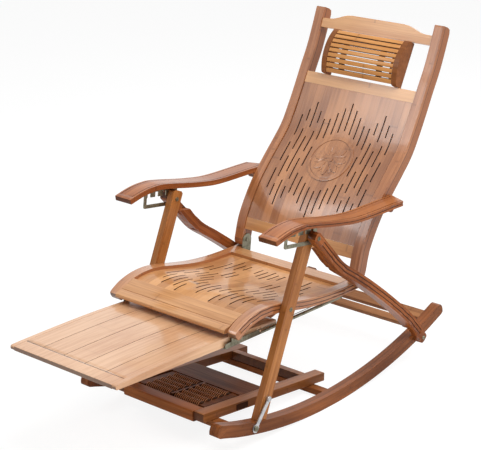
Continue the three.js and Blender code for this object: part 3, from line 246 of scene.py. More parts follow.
@dataclass(frozen=True)
class LaminatedBamboo:
    """Lacquered bamboo glued up from strips.

    Attributes:
        name: The material's name.
        pale: The lighter tone of the strips, as on a screen.
        deep: The darker tone of the strips.
        strip: The width of one strip in metres.
        run: The way that the grain runs.
        joint: The colour of glue lines and end grain, which is also painted as shade into grooves,
            slots and other hollows.
        seat: Where the first strip's edge lies, as a share of a strip.
        strips: How much the strips differ.
        streaks: How strong the long streaks are.
        glue: How strong the lines between strips are.
        knots: How strong the marks of the stems' joints are.
        painted_side_shade: How much darker the side faces are painted, as painted shade.
        core: How deep below the crown a darker core starts on the side faces, or 0 for none.
        end_shade: How dark the end grain is.
        gloss: Roughness of the lacquer.
        coat: Weight of the clear coat on faces that look up.
        shine: How strongly the wood under the coat reflects.
        knot_pitch: The distance between a stem's joints in metres.
        marks: For streaks, fibres and clouds, how many there are in a metre across the grain and
            along it, their octaves, and how strong the finer octaves are.
        side_limit: The least share of a face's direction that makes it a side.
        end_limit: The same for an end.
    """

    name: str
    pale: Colour
    deep: Colour
    strip: float
    run: Run = Run.COURSE
    joint: Colour = (58, 24, 9)
    seat: float = 0.0
    strips: float = 0.5
    streaks: float = 0.9
    glue: float = 0.3
    knots: float = 0.8
    painted_side_shade: float = 0.0
    core: float = 0.0
    end_shade: float = 0.72
    gloss: float = 0.34
    coat: float = 0.5
    shine: float = 0.12
    knot_pitch: float = 0.31
    marks: tuple[tuple[float, ...], ...] = (
        (130.0, 4.0, 3.0, 0.6), (850.0, 24.0, 2.0, 0.6), (8.0, 3.5, 2.0, 0.5)
    )
    side_limit: float = 0.7
    end_limit: float = 0.8

    def grain(self, graph: Graph, faces: tuple[Wire, Wire, Wire]) -> tuple[Wire, Wire, Wire, Wire]:
        """Reads how the grain runs.

        Args:
            graph: The graph to build in.
            faces: The parts of the way that the surface faces.

        Returns:
            Distances along the grain, across it on the wide faces and across it on the sides, and
            1 on the ends.
        """
        if self.run is Run.COURSE:
            return *graph.split(graph.kept("course", "Vector")), graph.kept("end", "Fac")
        x, y, z = graph.place()
        if self.run is Run.ACROSS:
            return x, y, z, faces[0].size().over(self.end_limit)
        turn = math.radians(self.run.value)
        ahead, up = math.cos(turn), math.sin(turn)
        end = (faces[1] * ahead + faces[2] * up).size().over(self.end_limit)
        return y * ahead + z * up, x, z * ahead - y * up, end

    def build(self) -> bpy.types.Material:
        """Builds the finish.

        Returns:
            The material.
        """
        graph = Graph(bpy.data.materials.new(self.name))
        pale, deep, joint = linear(self.pale), linear(self.deep), linear(self.joint)
        faces = graph.facing()
        along, across, side, end = self.grain(graph, faces)
        if self.run is Run.ACROSS:
            on_side = 1.0 - faces[2].size().over(self.side_limit)
        else:
            on_side = faces[0].size().over(self.side_limit)
        width = side * on_side + across * (1.0 - on_side)
        # Strips, each with its own tone
        lane = width / self.strip + self.seat
        index = lane.whole()
        shift = graph.chance(index, 11.0)
        patch = graph.noise((index * 5.7, along * 6.0, shift), 0.0)
        tone = graph.chance(index, 3.0) * 0.45 + (patch - 0.5) * 1.1 + 0.28
        glue = (lane.part() - 0.5).size().eased(0.455, 0.5) * self.glue
        # Streaks, fibres and clouds, drawn out along the grain
        streak, fibre, cloud = (
            graph.noise((across * fine, side * fine, along * long), detail, roughness)
            for fine, long, detail, roughness in self.marks
        )
        # The tone mixes strips, streaks, fibres and clouds; on the side faces it is pushed darker
        # as painted shade
        shade = (
            (tone - 0.5) * self.strips
            + (streak - 0.5) * self.streaks
            + (fibre - 0.5) * 0.35
            + (cloud - 0.5) * 0.8
            + on_side * self.painted_side_shade
            + 0.48
        )
        # A stem's joint is a thin line in a soft halo, on some strips
        stretch = along / self.knot_pitch + shift * 3.0
        knot = (stretch.part() - 0.5).size()
        rare = graph.chance(index + stretch.whole() * 13.0, 29.0).over(0.45) * self.knots
        knot_line = (1.0 - knot.eased(0.004, 0.014)) * rare * 0.3
        knot_halo = (1.0 - knot.eased(0.01, 0.07)) * rare * 0.25
        wood = graph.blend(shade.eased(0.0, 1.0), pale, deep)
        wood = graph.blend(knot_halo, wood, deep)
        wood = graph.blend(knot_line + glue, wood, joint)
        if self.core:
            line = (1.0 - (side - self.core).size().eased(0.0006, 0.0018)) * 0.85
            inner = side.eased(self.core, self.core + 0.001) * on_side
            wood = graph.blend(inner * 0.7, wood, deep)
            wood = graph.blend(line * on_side, wood, joint)
        wood = graph.blend(end * self.end_shade, wood, joint)
        # Painted shade: faces that their own piece hides, in grooves, slots and other hollows, are
        # darkened towards the joint colour
        wood = graph.blend(graph.kept("hollow", "Fac").eased(0.12, 0.5) * 0.92, wood, joint)
        relief = fibre * 0.5 + streak * 0.4 - knot_line - glue
        surface = {
            "Base Color": wood,
            "Roughness": (fibre - 0.5) * 0.2 + (cloud - 0.5) * 0.12 + self.gloss,
            "Specular IOR Level": self.shine,
            "Coat Weight": (faces[2].eased(0.15, 0.75) * 0.75 + 0.25) * self.coat,
            "Coat Roughness": 0.12,
            "Normal": graph.bump(relief, 0.0004, 0.3),
        }
        return graph.show(graph.shade(surface))


@dataclass(frozen=True)
class PlatedSteel:
    """Sheet and bar steel with a plated skin.

    Attributes:
        name: The material's name.
        base: The plate's colour, as on a screen.
        dull: The colour where it has dulled.
        gloss: Its roughness.
        patch: How large the dulled patches are, in patches a metre.
        grain: How fine the marks across and along X are, in marks a metre.
    """

    name: str
    base: Colour
    dull: Colour
    gloss: float
    patch: float = 60.0
    grain: tuple[float, float] = (2200.0, 260.0)

    def build(self) -> bpy.types.Material:
        """Builds the finish.

        Returns:
            The material.
        """
        graph = Graph(bpy.data.materials.new(self.name))
        x, y, z = graph.place()
        cloud = graph.noise((x * self.patch, y * self.patch, z * self.patch), 3.0, 0.6)
        across, along = self.grain
        grain = graph.noise((x * across, y * along, z * along))
        colour = graph.blend(cloud.eased(0.38, 0.68), linear(self.base), linear(self.dull))
        surface = {
            "Base Color": colour,
            "Metallic": 1.0 - cloud.eased(0.5, 0.8) * 0.25,
            "Roughness": (grain - 0.5) * 0.18 + cloud * 0.12 + self.gloss,
            "Normal": graph.bump(grain, 0.0002, 0.2),
        }
        return graph.show(graph.shade(surface))


class Palette:
    """Every finish of the chair, built once and shared by its pieces."""

    def __init__(self) -> None:
        """Builds the finishes."""
        across, black, soft_line = Run.ACROSS, (30, 14, 7), (112, 60, 26)
        seat = ((220, 164, 110), (172, 116, 68))
        finishes = [
            LaminatedBamboo(
                "seat bamboo", *seat, 0.032,
                strips=0.9, streaks=0.6, glue=0.12, gloss=0.4, coat=0.45, shine=0.25,
            ),
            LaminatedBamboo(
                "seat cross bamboo", *seat, 0.03, across, soft_line, strips=0.3, coat=0.8, shine=0.3
            ),
            LaminatedBamboo(
                "footboard bamboo", (222, 176, 136), (190, 136, 94), 0.0792,
                seat=0.5, strips=0.5, streaks=1.2, glue=0.0, knots=0.2, coat=1.0, shine=0.5,
            ),
            LaminatedBamboo(
                "back panel bamboo", (192, 132, 86), (140, 86, 50), 0.03,
                strips=0.9, streaks=0.7, glue=0.12, gloss=0.26, coat=1.0, shine=0.4,
            ),
            LaminatedBamboo(
                "back cross bamboo", (222, 168, 112), (190, 130, 78), 0.018, across,
                strips=0.3, glue=0.15, coat=1.0, shine=0.4,
            ),
            LaminatedBamboo(
                "post bamboo", (186, 124, 80), (142, 84, 46), 0.0105,
                core=0.013, painted_side_shade=0.15, coat=1.0, shine=0.3,
            ),
            LaminatedBamboo("armrest bamboo", (180, 112, 64), (134, 72, 34), 0.0155, painted_side_shade=0.35),
            LaminatedBamboo(
                "seat rail bamboo", (204, 144, 96), (158, 96, 54), 0.0108,
                painted_side_shade=0.3, coat=1.0, shine=0.5,
            ),
            LaminatedBamboo(
                "front leg bamboo", (182, 120, 64), (138, 80, 36), 0.01, Run.FRONT_LEG
            ),
            LaminatedBamboo(
                "rear leg bamboo", (174, 100, 50), (110, 56, 24), 0.01,
                painted_side_shade=0.1, coat=0.2, shine=0.08,
            ),
            LaminatedBamboo(
                "rocker bamboo", (152, 90, 48), (98, 52, 24), 0.009,
                painted_side_shade=0.1, coat=0.25, shine=0.08,
            ),
            LaminatedBamboo(
                "slat bamboo", (214, 152, 88), (180, 114, 54), 0.05, across, glue=0.0, strips=0.4
            ),
            LaminatedBamboo(
                "headrest end bamboo", (150, 92, 48), (108, 60, 28), 0.02, across,
                strips=0.2, glue=0.1, end_shade=0.0, coat=0.2,
            ),
            LaminatedBamboo(
                "tail slat bamboo", (172, 118, 74), (132, 84, 48), 0.02, across, coat=0.2
            ),
            LaminatedBamboo(
                "base rail bamboo", (166, 106, 60), (120, 70, 36), 0.012, Run.BASE,
                painted_side_shade=0.15, coat=0.2,
            ),
            LaminatedBamboo(
                "brown cross wood", (122, 72, 42), (80, 42, 22), 0.03, across, black,
                coat=0.02, shine=0.04,
            ),
            LaminatedBamboo(
                "brown bar wood", (164, 100, 56), (116, 66, 32), 0.03, across,
                coat=0.06, shine=0.06,
            ),
            LaminatedBamboo(
                "roller wood", (222, 160, 116), (160, 100, 64), 0.04, across, black,
                glue=0.0, gloss=0.4, coat=0.05, shine=0.1,
            ),
            PlatedSteel("zinc steel", (142, 138, 120), (104, 100, 82), 0.34),
            PlatedSteel("bright steel", (196, 196, 198), (160, 160, 162), 0.22),
        ]
        self.materials = {finish.name: finish.build() for finish in finishes}


# Bent pieces


@dataclass(frozen=True)
class Course:
    """The line that a bent piece follows in the side view, as flat stretches of its crown.

    Attributes:
        points: Places (y, z) along the crown, from the front or foot to the rear or top.
    """

    points: np.ndarray

    # The least shares of a face's direction that make it a side or part of the crown
    side_limit = 0.99
    crown_limit = 0.5

    @classmethod
    def read(cls, node: Piece, crown: tuple[float, float], side: float) -> "Course":
        """Reads the line from the edge of a frame node's side face.

        Args:
            node: The frame's node.
            crown: The way (y, z) that the crown faces.
            side: 1 for the face towards +X, -1 for the face towards -X.

        Returns:
            The course.
        """
        shell = bmesh.new()
        shell.from_mesh(node.data)
        bmesh.ops.remove_doubles(shell, verts=shell.verts, dist=WELD)
        shell.normal_update()
        planes: dict[float, list[bmesh.types.BMFace]] = {}
        for face in shell.faces:
            if face.normal.x * side > cls.side_limit:
                planes.setdefault(round(face.calc_center_median().x, 4), []).append(face)
        widest = set(max(planes.values(), key=lambda faces: sum(f.calc_area() for f in faces)))
        upward = Vector((0.0, *crown)).normalized()
        forward = Vector((0.0, -upward.z, upward.y))
        if forward.y < 0.0:
            forward.negate()
        rim = [edge for edge in shell.edges if sum(f in widest for f in edge.link_faces) == 1]
        crest: dict[float, Vector] = {}
        for edge in cls.outline(rim):
            wall = next(face for face in edge.link_faces if face not in widest)
            if wall.normal.dot(upward) > cls.crown_limit:
                for corner in edge.verts:
                    crest[round(corner.co.dot(forward), 5)] = corner.co.copy()
        places = np.array([(crest[key].y, crest[key].z) for key in sorted(crest)])
        shell.free()
        return cls(places)

    @staticmethod
    def outline(rim: list[bmesh.types.BMEdge]) -> list[bmesh.types.BMEdge]:
        """Finds a face's outer edge among the edges of its grooves.

        Args:
            rim: All edges round the face.

        Returns:
            The longest connected run of them.
        """
        left = set(rim)
        runs = []
        while left:
            run = [left.pop()]
            for edge in run:
                links = (other for corner in edge.verts for other in corner.link_edges)
                near = {other for other in links if other in left}
                left -= near
                run += near
            runs.append(run)
        return max(runs, key=lambda run: sum(edge.calc_length() for edge in run))

    @cached_property
    def ways(self) -> np.ndarray:
        """The flat stretches as vectors."""
        return np.diff(self.points, axis=0)

    @cached_property
    def lengths(self) -> np.ndarray:
        """The lengths of the flat stretches."""
        return np.linalg.norm(self.ways, axis=1)

    @cached_property
    def reach(self) -> np.ndarray:
        """The distance run at each place."""
        return np.concatenate([[0.0], np.cumsum(self.lengths)])

    @cached_property
    def leads(self) -> np.ndarray:
        """The smooth line's direction at each place."""
        slopes = self.ways / self.lengths[:, None]
        before, after = self.lengths[:-1, None], self.lengths[1:, None]
        inner = (slopes[:-1] * before + slopes[1:] * after) / (before + after)
        return np.vstack([slopes[:1], inner, slopes[-1:]])

    def curve(self, stretch: np.ndarray, share: np.ndarray) -> np.ndarray:
        """Places on the smooth line.

        Args:
            stretch: The flat stretch that each place belongs to.
            share: How far along the stretch it lies, 0 to 1.

        Returns:
            The places (y, z).
        """
        s = share[:, None]
        reach = self.lengths[stretch][:, None]
        start, end = self.points[stretch], self.points[stretch + 1]
        lead, trail = self.leads[stretch] * reach, self.leads[stretch + 1] * reach
        return (
            start * (2 * s**3 - 3 * s**2 + 1)
            + lead * (s**3 - 2 * s**2 + s)
            + end * (3 * s**2 - 2 * s**3)
            + trail * (s**3 - s**2)
        )

    def locate(self, places: np.ndarray) -> tuple[np.ndarray, np.ndarray, np.ndarray]:
        """Finds the nearest place on the flat stretches.

        Args:
            places: Places (y, z).

        Returns:
            The stretch, the share along it, and the depth below the crown, for each place.
        """
        gap = places[:, None, :] - self.points[None, :-1]
        along = (gap * self.ways).sum(axis=2) / self.lengths**2
        share = np.clip(along, 0.0, 1.0)
        apart = np.linalg.norm(gap - share[..., None] * self.ways, axis=2)
        stretch = apart.argmin(axis=1)
        row = np.arange(len(places))
        way = (self.ways / self.lengths[:, None])[stretch]
        depth = gap[row, stretch, 0] * way[:, 1] - gap[row, stretch, 1] * way[:, 0]
        return stretch, share[row, stretch], depth

    def bend(self, places: np.ndarray) -> np.ndarray:
        """Moves places off the flat stretches onto the smooth line."""
        stretch, share, _ = self.locate(places)
        flat = self.points[stretch] + self.ways[stretch] * share[:, None]
        return places + self.curve(stretch, share) - flat

    def measure(self, places: np.ndarray) -> tuple[np.ndarray, np.ndarray, np.ndarray]:
        """Finds distance run, depth below the crown, and direction.

        Args:
            places: Places (y, z).

        Returns:
            The three, for each place.
        """
        stretch, share, depth = self.locate(places)
        run = self.reach[stretch] + share * self.lengths[stretch]
        way = self.leads[stretch] * (1 - share[:, None]) + self.leads[stretch + 1] * share[:, None]
        return run, depth, way / np.linalg.norm(way, axis=1)[:, None]

    def at(self, run: float) -> tuple[Vector, Vector]:
        """Finds a place on the smooth line.

        Args:
            run: The distance run.

        Returns:
            The place and the line's direction, in the object's space.
        """
        last = len(self.lengths) - 1
        stretch = min(int(np.searchsorted(self.reach, run, side="right")) - 1, last)
        share = np.array([(run - self.reach[stretch]) / self.lengths[stretch]])
        place = self.curve(np.array([stretch]), share)[0]
        way = self.leads[stretch] * (1 - share[0]) + self.leads[stretch + 1] * share[0]
        return Vector((0.0, *place)), Vector((0.0, *way)).normalized()

    def level(
        self, places: np.ndarray, thick: float, start: float = 0.15, near: float = 0.0025,
        step: float = 0.004,
    ) -> np.ndarray:
        """Moves places near the crown or the underside exactly onto the smooth ones.

        Args:
            places: Places (y, z) that were bent already.
            thick: The piece's thickness below the crown.
            start: How far along the course the first place is moved.
            near: How far off a place may lie to be moved.
            step: The distance between the smooth line's places.

        Returns:
            The places.
        """
        spots = [self.at(float(run))[0].yz for run in np.arange(0.0, self.lengths.sum(), step)]
        fine = Course(np.array(spots))
        stretch, _, depth = fine.locate(places)
        run, _, _ = fine.measure(places)
        way = (fine.ways / fine.lengths[:, None])[stretch]
        short = np.where(np.abs(depth) < near, -depth, 0.0)
        short = np.where(np.abs(depth - thick) < near, thick - depth, short)
        short = np.where(run > start, short, 0.0)
        return places + short[:, None] * np.stack([way[:, 1], -way[:, 0]], axis=1)

    def stations(self, pitch: float) -> list[tuple[Vector, Vector]]:
        """Evenly spaced places with their directions, ends left out."""
        total = float(self.lengths.sum())
        count = max(2, round(total / pitch))
        return [self.at(total * i / count) for i in range(1, count)]


@dataclass(frozen=True)
class Bend:
    """How a bent piece is read from its node and smoothed.

    Attributes:
        crown: The way (y, z) that its crown faces.
        faces: The sides whose edges give the left and the right piece's course, 1 towards +X.
        edge: The width of its rounded edges in metres, or 0 for none.
        steps: Faces across a rounded edge.
        pitch: The distance between cuts in metres.
        guide: Another node whose side gives the course.
        thick: The thickness that crown and underside are trued to, or 0 to leave them.
    """

    crown: tuple[float, float] = (0.0, 1.0)
    faces: tuple[float, float] = (1.0, 1.0)
    edge: float = 0.0
    steps: int = 3
    pitch: float = 0.009
    guide: str = ""
    thick: float = 0.0


class Workbench:
    """Shapes that the sub-assemblies share, and the way that a frame node is finished."""

    # Hollows are felt by rays: how many, how far they start and reach, their lowest lift and its
    # spread, and the share that makes a face part of a groove
    hollow_rays = 14
    hollow_start = 0.0002
    hollow_reach = 0.012
    hollow_lift = 0.15
    hollow_spread = 0.8
    hollow_limit = 0.16
    # The angle under which faces are dissolved, in degrees, the square of the least share of a
    # face's direction that makes it an end, and how much large faces weigh in a node's shading
    flat_angle = 0.1
    end_limit = 0.64
    normals_weight = 60

    def __init__(self, nodes: dict[str, Piece], palette: Palette) -> None:
        """Keeps the nodes and finishes, and the directions that hollows are felt in.

        Args:
            nodes: The frame's nodes by name.
            palette: The finishes.
        """
        self.nodes = nodes
        self.materials = palette.materials
        turn = math.pi * (3 - math.sqrt(5))
        self.feelers = []
        for i in range(self.hollow_rays):
            lift = self.hollow_lift + self.hollow_spread * (i + 0.5) / self.hollow_rays
            out = math.sqrt(1 - lift * lift)
            self.feelers.append(Vector((out * math.cos(i * turn), out * math.sin(i * turn), lift)))

    @staticmethod
    def both(*stems: str) -> list[str]:
        """The left and right names of each stem."""
        return [f"{stem}_{side}" for stem in stems for side, _ in SIDES]

    @staticmethod
    def pick(piece: Piece) -> None:
        """Makes a piece the only selected and active one."""
        bpy.ops.object.select_all(action="DESELECT")
        piece.select_set(True)
        bpy.context.view_layer.objects.active = piece

    @staticmethod
    def edit(mode: str = "FACE") -> None:
        """Enters edit mode with everything selected."""
        bpy.ops.object.mode_set(mode="EDIT")
        bpy.ops.mesh.select_mode(type=mode)
        bpy.ops.mesh.select_all(action="SELECT")

    @staticmethod
    def rest(outward: bool = False) -> None:
        """Leaves edit mode, with all faces turned outward if that is asked."""
        if outward:
            bpy.ops.mesh.select_all(action="SELECT")
            bpy.ops.mesh.normals_make_consistent(inside=False)
        bpy.ops.object.mode_set(mode="OBJECT")

    @staticmethod
    def draw(x: float = 0.0, y: float = 0.0, z: float = 0.0) -> None:
        """Extrudes what is selected by a distance along each axis."""
        bpy.ops.mesh.extrude_region_move(TRANSFORM_OT_translate={"value": (x, y, z)})

    @staticmethod
    def corners(piece: Piece) -> np.ndarray:
        """The places of a piece's corners, one to a row."""
        places = np.empty(len(piece.data.vertices) * 3)
        piece.data.vertices.foreach_get("co", places)
        return places.reshape(-1, 3)

    @staticmethod
    def write(piece: Piece, name: str, values: Iterable[float]) -> None:
        """Writes a named value for each of a piece's faces."""
        piece.data.attributes.new(name, "FLOAT", "FACE").data.foreach_set("value", values)

    def settle(self, piece: Piece, name: str) -> Piece:
        """Names a new piece and puts its place into its mesh.

        Args:
            piece: The piece.
            name: Its name.

        Returns:
            The piece.
        """
        self.pick(piece)
        piece.name = name
        piece.data.name = name
        bpy.ops.object.transform_apply(location=True, rotation=True, scale=True)
        return piece

    def start(
        self, name: str, add: Callable[..., Any], scale: Iterable[float] = (1.0, 1.0, 1.0),
        **sizes: Any,
    ) -> Piece:
        """Adds a primitive with nothing else selected.

        Args:
            name: The piece's name.
            add: The operator that adds it.
            scale: How much it is stretched along each axis.
            **sizes: The operator's settings.

        Returns:
            The piece.
        """
        bpy.ops.object.select_all(action="DESELECT")
        add(**sizes)
        piece = bpy.context.object
        piece.scale = scale
        return self.settle(piece, name)

    def copy(self, source: Piece, name: str, move: Matrix) -> Piece:
        """Copies a piece with its own mesh, moved.

        Args:
            source: The piece to copy.
            name: The copy's name.
            move: How its mesh is moved.

        Returns:
            The copy.
        """
        mesh = source.data.copy()
        mesh.transform(move)
        if move.determinant() < 0:
            mesh.flip_normals()
        piece = bpy.data.objects.new(name, mesh)
        bpy.context.scene.collection.objects.link(piece)
        return piece

    def join(self, pieces: list[Piece], name: str) -> Piece:
        """Joins pieces into the first one.

        Args:
            pieces: The pieces.
            name: The joined piece's name.

        Returns:
            The joined piece.
        """
        self.pick(pieces[0])
        for piece in pieces:
            piece.select_set(True)
        bpy.ops.object.join()
        return self.settle(pieces[0], name)

    def round(self, piece: Piece, width: float, steps: int = 2, **settings: Any) -> None:
        """Rounds a piece's edges by a bevel that is applied.

        Args:
            piece: The piece, picked.
            width: The width of the rounding in metres.
            steps: Faces across the rounding.
            **settings: The bevel's other settings.
        """
        bevel = piece.modifiers.new("edge", "BEVEL")
        bevel.width = width
        bevel.segments = steps
        for key, value in settings.items():
            setattr(bevel, key, value)
        bpy.ops.object.modifier_apply(modifier=bevel.name)

    def soften(
        self, piece: Piece, width: float, steps: int = 2, angle: float = SMOOTH_ANGLE
    ) -> None:
        """Rounds a piece's outer edges and shades it smoothly between them.

        Args:
            piece: The piece.
            width: The width of the rounding in metres, or 0 for none.
            steps: Faces across the rounding.
            angle: Edges sharper than this are rounded, in degrees.
        """
        self.pick(piece)
        bpy.ops.object.shade_smooth_by_angle(angle=math.radians(angle))
        if width:
            self.weigh(piece, math.radians(angle))
            self.round(piece, width, steps, limit_method="WEIGHT", harden_normals=True)

    def weigh(self, piece: Piece, angle: float) -> None:
        """Marks the outer edges that are rounded, and leaves grooves and slots crisp.

        Args:
            piece: The piece.
            angle: Edges sharper than this are marked.
        """
        shell = bmesh.new()
        shell.from_mesh(piece.data)
        shell.normal_update()
        hollows = self.hollows(shell)
        layer = shell.edges.layers.float.get("bevel_weight_edge")
        layer = layer or shell.edges.layers.float.new("bevel_weight_edge")
        for edge in shell.edges:
            if len(edge.link_faces) == 2 and edge.calc_face_angle_signed(0.0) > angle:
                open_air = all(hollows[face.index] < self.hollow_limit for face in edge.link_faces)
                edge[layer] = 1.0 if open_air else 0.0
        shell.to_mesh(piece.data)
        shell.free()

    def hollows(self, shell: bmesh.types.BMesh) -> list[float]:
        """Feels how much of each face's view is blocked by the same piece close by.

        Args:
            shell: The piece's mesh.

        Returns:
            A share for each face, 0 in the open to 1 in a slot.
        """
        tree = BVHTree.FromBMesh(shell)
        up, reach = Vector((0.0, 0.0, 1.0)), self.hollow_reach
        shares = []
        for face in shell.faces:
            turn = up.rotation_difference(face.normal)
            start = face.calc_center_median() + face.normal * self.hollow_start
            rays = (tree.ray_cast(start, turn @ feeler, reach) for feeler in self.feelers)
            shares.append(sum(hit[0] is not None for hit in rays) / self.hollow_rays)
        return shares

    def mark(self, piece: Piece, course: Course | None = None) -> None:
        """Writes the values that the wood's finish reads: course, end grain, and hollows, which it
        paints as shade.

        Args:
            piece: The finished piece.
            course: The line that its grain follows, or None for straight grain.
        """
        mesh = piece.data
        shell = bmesh.new()
        shell.from_mesh(mesh)
        self.write(piece, "hollow", self.hollows(shell))
        shell.free()
        if course is None:
            return
        places = self.corners(piece)
        run, depth, _ = course.measure(places[:, 1:])
        grain = np.stack([run, places[:, 0], depth], axis=1).ravel()
        mesh.attributes.new("course", "FLOAT_VECTOR", "POINT").data.foreach_set("vector", grain)
        centres = np.array([face.center[1:] for face in mesh.polygons])
        normals = np.array([face.normal[1:] for face in mesh.polygons])
        _, _, way = course.measure(centres)
        ends = (normals * way).sum(axis=1) ** 2 > self.end_limit
        self.write(piece, "end", ends.astype(float))

    def place(
        self, piece: Piece, body: str, slot: str, finish: str, nodes: Iterable[str] = ()
    ) -> None:
        """Gives a new piece its finish and body, and hides the nodes that it stands for.

        Args:
            piece: The piece.
            body: The frame body that it moves with.
            slot: The record's material slot; not used.
            finish: Its finish's name.
            nodes: The frame nodes that it stands for.
        """
        piece.data.materials.clear()
        piece.data.materials.append(self.materials[finish])
        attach(piece, body)
        if nodes:
            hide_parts(*nodes)
        log.info("built %s, %d faces", piece.name, len(piece.data.polygons))

    def bent(self, name: str, bend: Bend, side: float) -> Piece:
        """Makes a frame node's bent piece smooth along its course.

        Args:
            name: The node's name.
            bend: How it is read and smoothed.
            side: The side whose edge gives the course.

        Returns:
            The new piece.
        """
        course = Course.read(self.nodes[bend.guide or name], bend.crown, side)
        piece = self.copy(self.nodes[name], f"bent_{name}", Matrix())
        self.pick(piece)
        self.edit("EDGE")
        bpy.ops.mesh.remove_doubles(threshold=WELD)
        flat = math.radians(self.flat_angle)
        bpy.ops.mesh.dissolve_limited(angle_limit=flat, use_dissolve_boundaries=False)
        for at, way in course.stations(bend.pitch):
            bpy.ops.mesh.select_all(action="SELECT")
            bpy.ops.mesh.bisect(plane_co=at, plane_no=way, threshold=WELD)
        self.rest()
        places = self.corners(piece)
        low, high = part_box(name)
        bent = course.bend(places[:, 1:])
        if bend.thick:
            bent = course.level(bent, bend.thick)
        places[:, 1:] = bent.clip((low.y, low.z), (high.y, high.z))
        piece.data.vertices.foreach_set("co", places.ravel())
        piece.data.update()
        if bend.thick:
            self.edit()
            bpy.ops.mesh.remove_doubles(threshold=10 * WELD)
            bpy.ops.mesh.dissolve_degenerate(threshold=WELD)
            self.rest()
        self.soften(piece, bend.edge, bend.steps)
        self.mark(piece, course)
        return piece

    def smooth(self, names: list[str], bend: Bend, body: str, slot: str, finish: str) -> None:
        """Builds the smooth pieces of a left and right pair of bent nodes, or of one node.

        Args:
            names: The nodes' names.
            bend: How they are read and smoothed.
            body: The frame body that they move with.
            slot: The record's material slot.
            finish: Their finish's name.
        """
        for name, side in zip(names, bend.faces):
            self.place(self.bent(name, bend, side), body, slot, finish, [name])

    def turned(
        self, name: str, stations: list[tuple[float, float]], at: Vector = Vector(), faces: int = 24
    ) -> Piece:
        """Draws a ring out along X into a turned piece, closed at both ends.

        Args:
            name: The piece's name.
            stations: Pairs of x and radius, from one end to the other.
            at: A place (0, y, z) on its axis.
            faces: Faces round it.

        Returns:
            The piece.
        """
        (x, radius), *others = stations
        piece = self.start(
            name, bpy.ops.mesh.primitive_circle_add, vertices=faces, radius=radius,
            fill_type="NGON", location=(x, at.y, at.z), rotation=(0.0, math.pi / 2, 0.0),
        )
        self.edit()
        for next_x, next_radius in others:
            self.draw(next_x - x)
            scale = next_radius / radius
            centre = (next_x, at.y, at.z)
            bpy.ops.transform.resize(value=(1.0, scale, scale), center_override=centre)
            x, radius = next_x, next_radius
        self.rest(outward=True)
        return piece

    def dress(self, names: Iterable[str], finish: str, edge: float) -> None:
        """Gives frame nodes their finish and softened edges.

        Args:
            names: The nodes' names.
            finish: Their finish's name.
            edge: The width of the softened edge in metres, or 0 for none.
        """
        for name in names:
            node = self.nodes[name]
            node.data.materials.clear()
            node.data.materials.append(self.materials[finish])
            node.data.polygons.foreach_set("use_smooth", [True] * len(node.data.polygons))
            weld = node.modifiers.new("weld", "WELD")
            weld.merge_threshold = WELD
            if edge:
                bevel = node.modifiers.new("edge", "BEVEL")
                bevel.width = edge
                bevel.segments = 2
                bevel.limit_method = "ANGLE"
                bevel.angle_limit = math.radians(SMOOTH_ANGLE)
            normals = node.modifiers.new("normals", "WEIGHTED_NORMAL")
            normals.weight = self.normals_weight
            log.info("dressed %s", name)


# Sub-assemblies


@dataclass
class Assembly:
    """A part of the chair that is built on the workbench.

    Attributes:
        bench: The workbench.
    """

    bench: Workbench


@dataclass
class Fastener(Assembly):
    """A domed bolt with a round socket in its head.

    Attributes:
        shank: Its shank's radius.
        head: Its head's radius.
        rise: How far the head stands out.
        socket: The socket's radius.
        socket_depth: The socket's depth.
    """

    shank: float = 0.004
    head: float = 0.0065
    rise: float = 0.0026
    socket: float = 0.0024
    socket_depth: float = 0.0016

    def build(self, stem: str, body: str, washer: bool = False) -> None:
        """Builds the bolts in the places of a left and a right frame node.

        Args:
            stem: The nodes' name without its side.
            body: The body that they move with.
            washer: Whether a second head closes the inner end.
        """
        for node in self.bench.both(stem):
            low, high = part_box(node)
            out = 1.0 if low.x > 0 else -1.0
            start, end = (low.x, high.x) if out > 0 else (high.x, low.x)
            stations = [
                (end - out * self.socket_depth, self.socket * 0.98),
                (end, self.socket),
                (end, self.head * 0.62),
                (end - out * self.rise * 0.35, self.head * 0.9),
                (end - out * self.rise, self.head),
                (end - out * self.rise, self.shank),
            ]
            if washer:
                stations += [(start + out * self.rise, self.shank)]
                stations += [(start + out * self.rise, self.head), (start, self.head * 0.9)]
            else:
                stations += [(start, self.shank)]
            piece = self.bench.turned(f"bolt_{node}", stations, (low + high) / 2)
            self.bench.soften(piece, 0.0)
            self.bench.place(piece, body, "zinc_steel", "zinc steel", [node])


@dataclass
class Base(Assembly):
    """Rockers with their bars, slats and bolts.

    Attributes:
        rocker_edge: The rounding of the rockers' edges.
        rocker_pitch: The distance between their cuts.
        bar_edge: The rounding of the bars' edges.
    """

    rocker_edge: float = 0.0028
    rocker_pitch: float = 0.02
    bar_edge: float = 0.0015

    def build(self) -> None:
        """Builds the rockers and bolts, and dresses the rest."""
        bench = self.bench
        bend = Bend(edge=self.rocker_edge, pitch=self.rocker_pitch)
        bench.smooth(bench.both("rocker"), bend, "base", "dark_bamboo", "rocker bamboo")
        bench.dress(["front_stretcher", "mid_stretcher"], "brown bar wood", self.bar_edge)
        bench.dress(["rear_slat_inner", "rear_slat_outer"], "tail slat bamboo", self.bar_edge)
        bench.dress(bench.both("latch_stud"), "zinc steel", 0.0)
        Fastener(bench).build("rear_pivot_bolt", "base", washer=True)


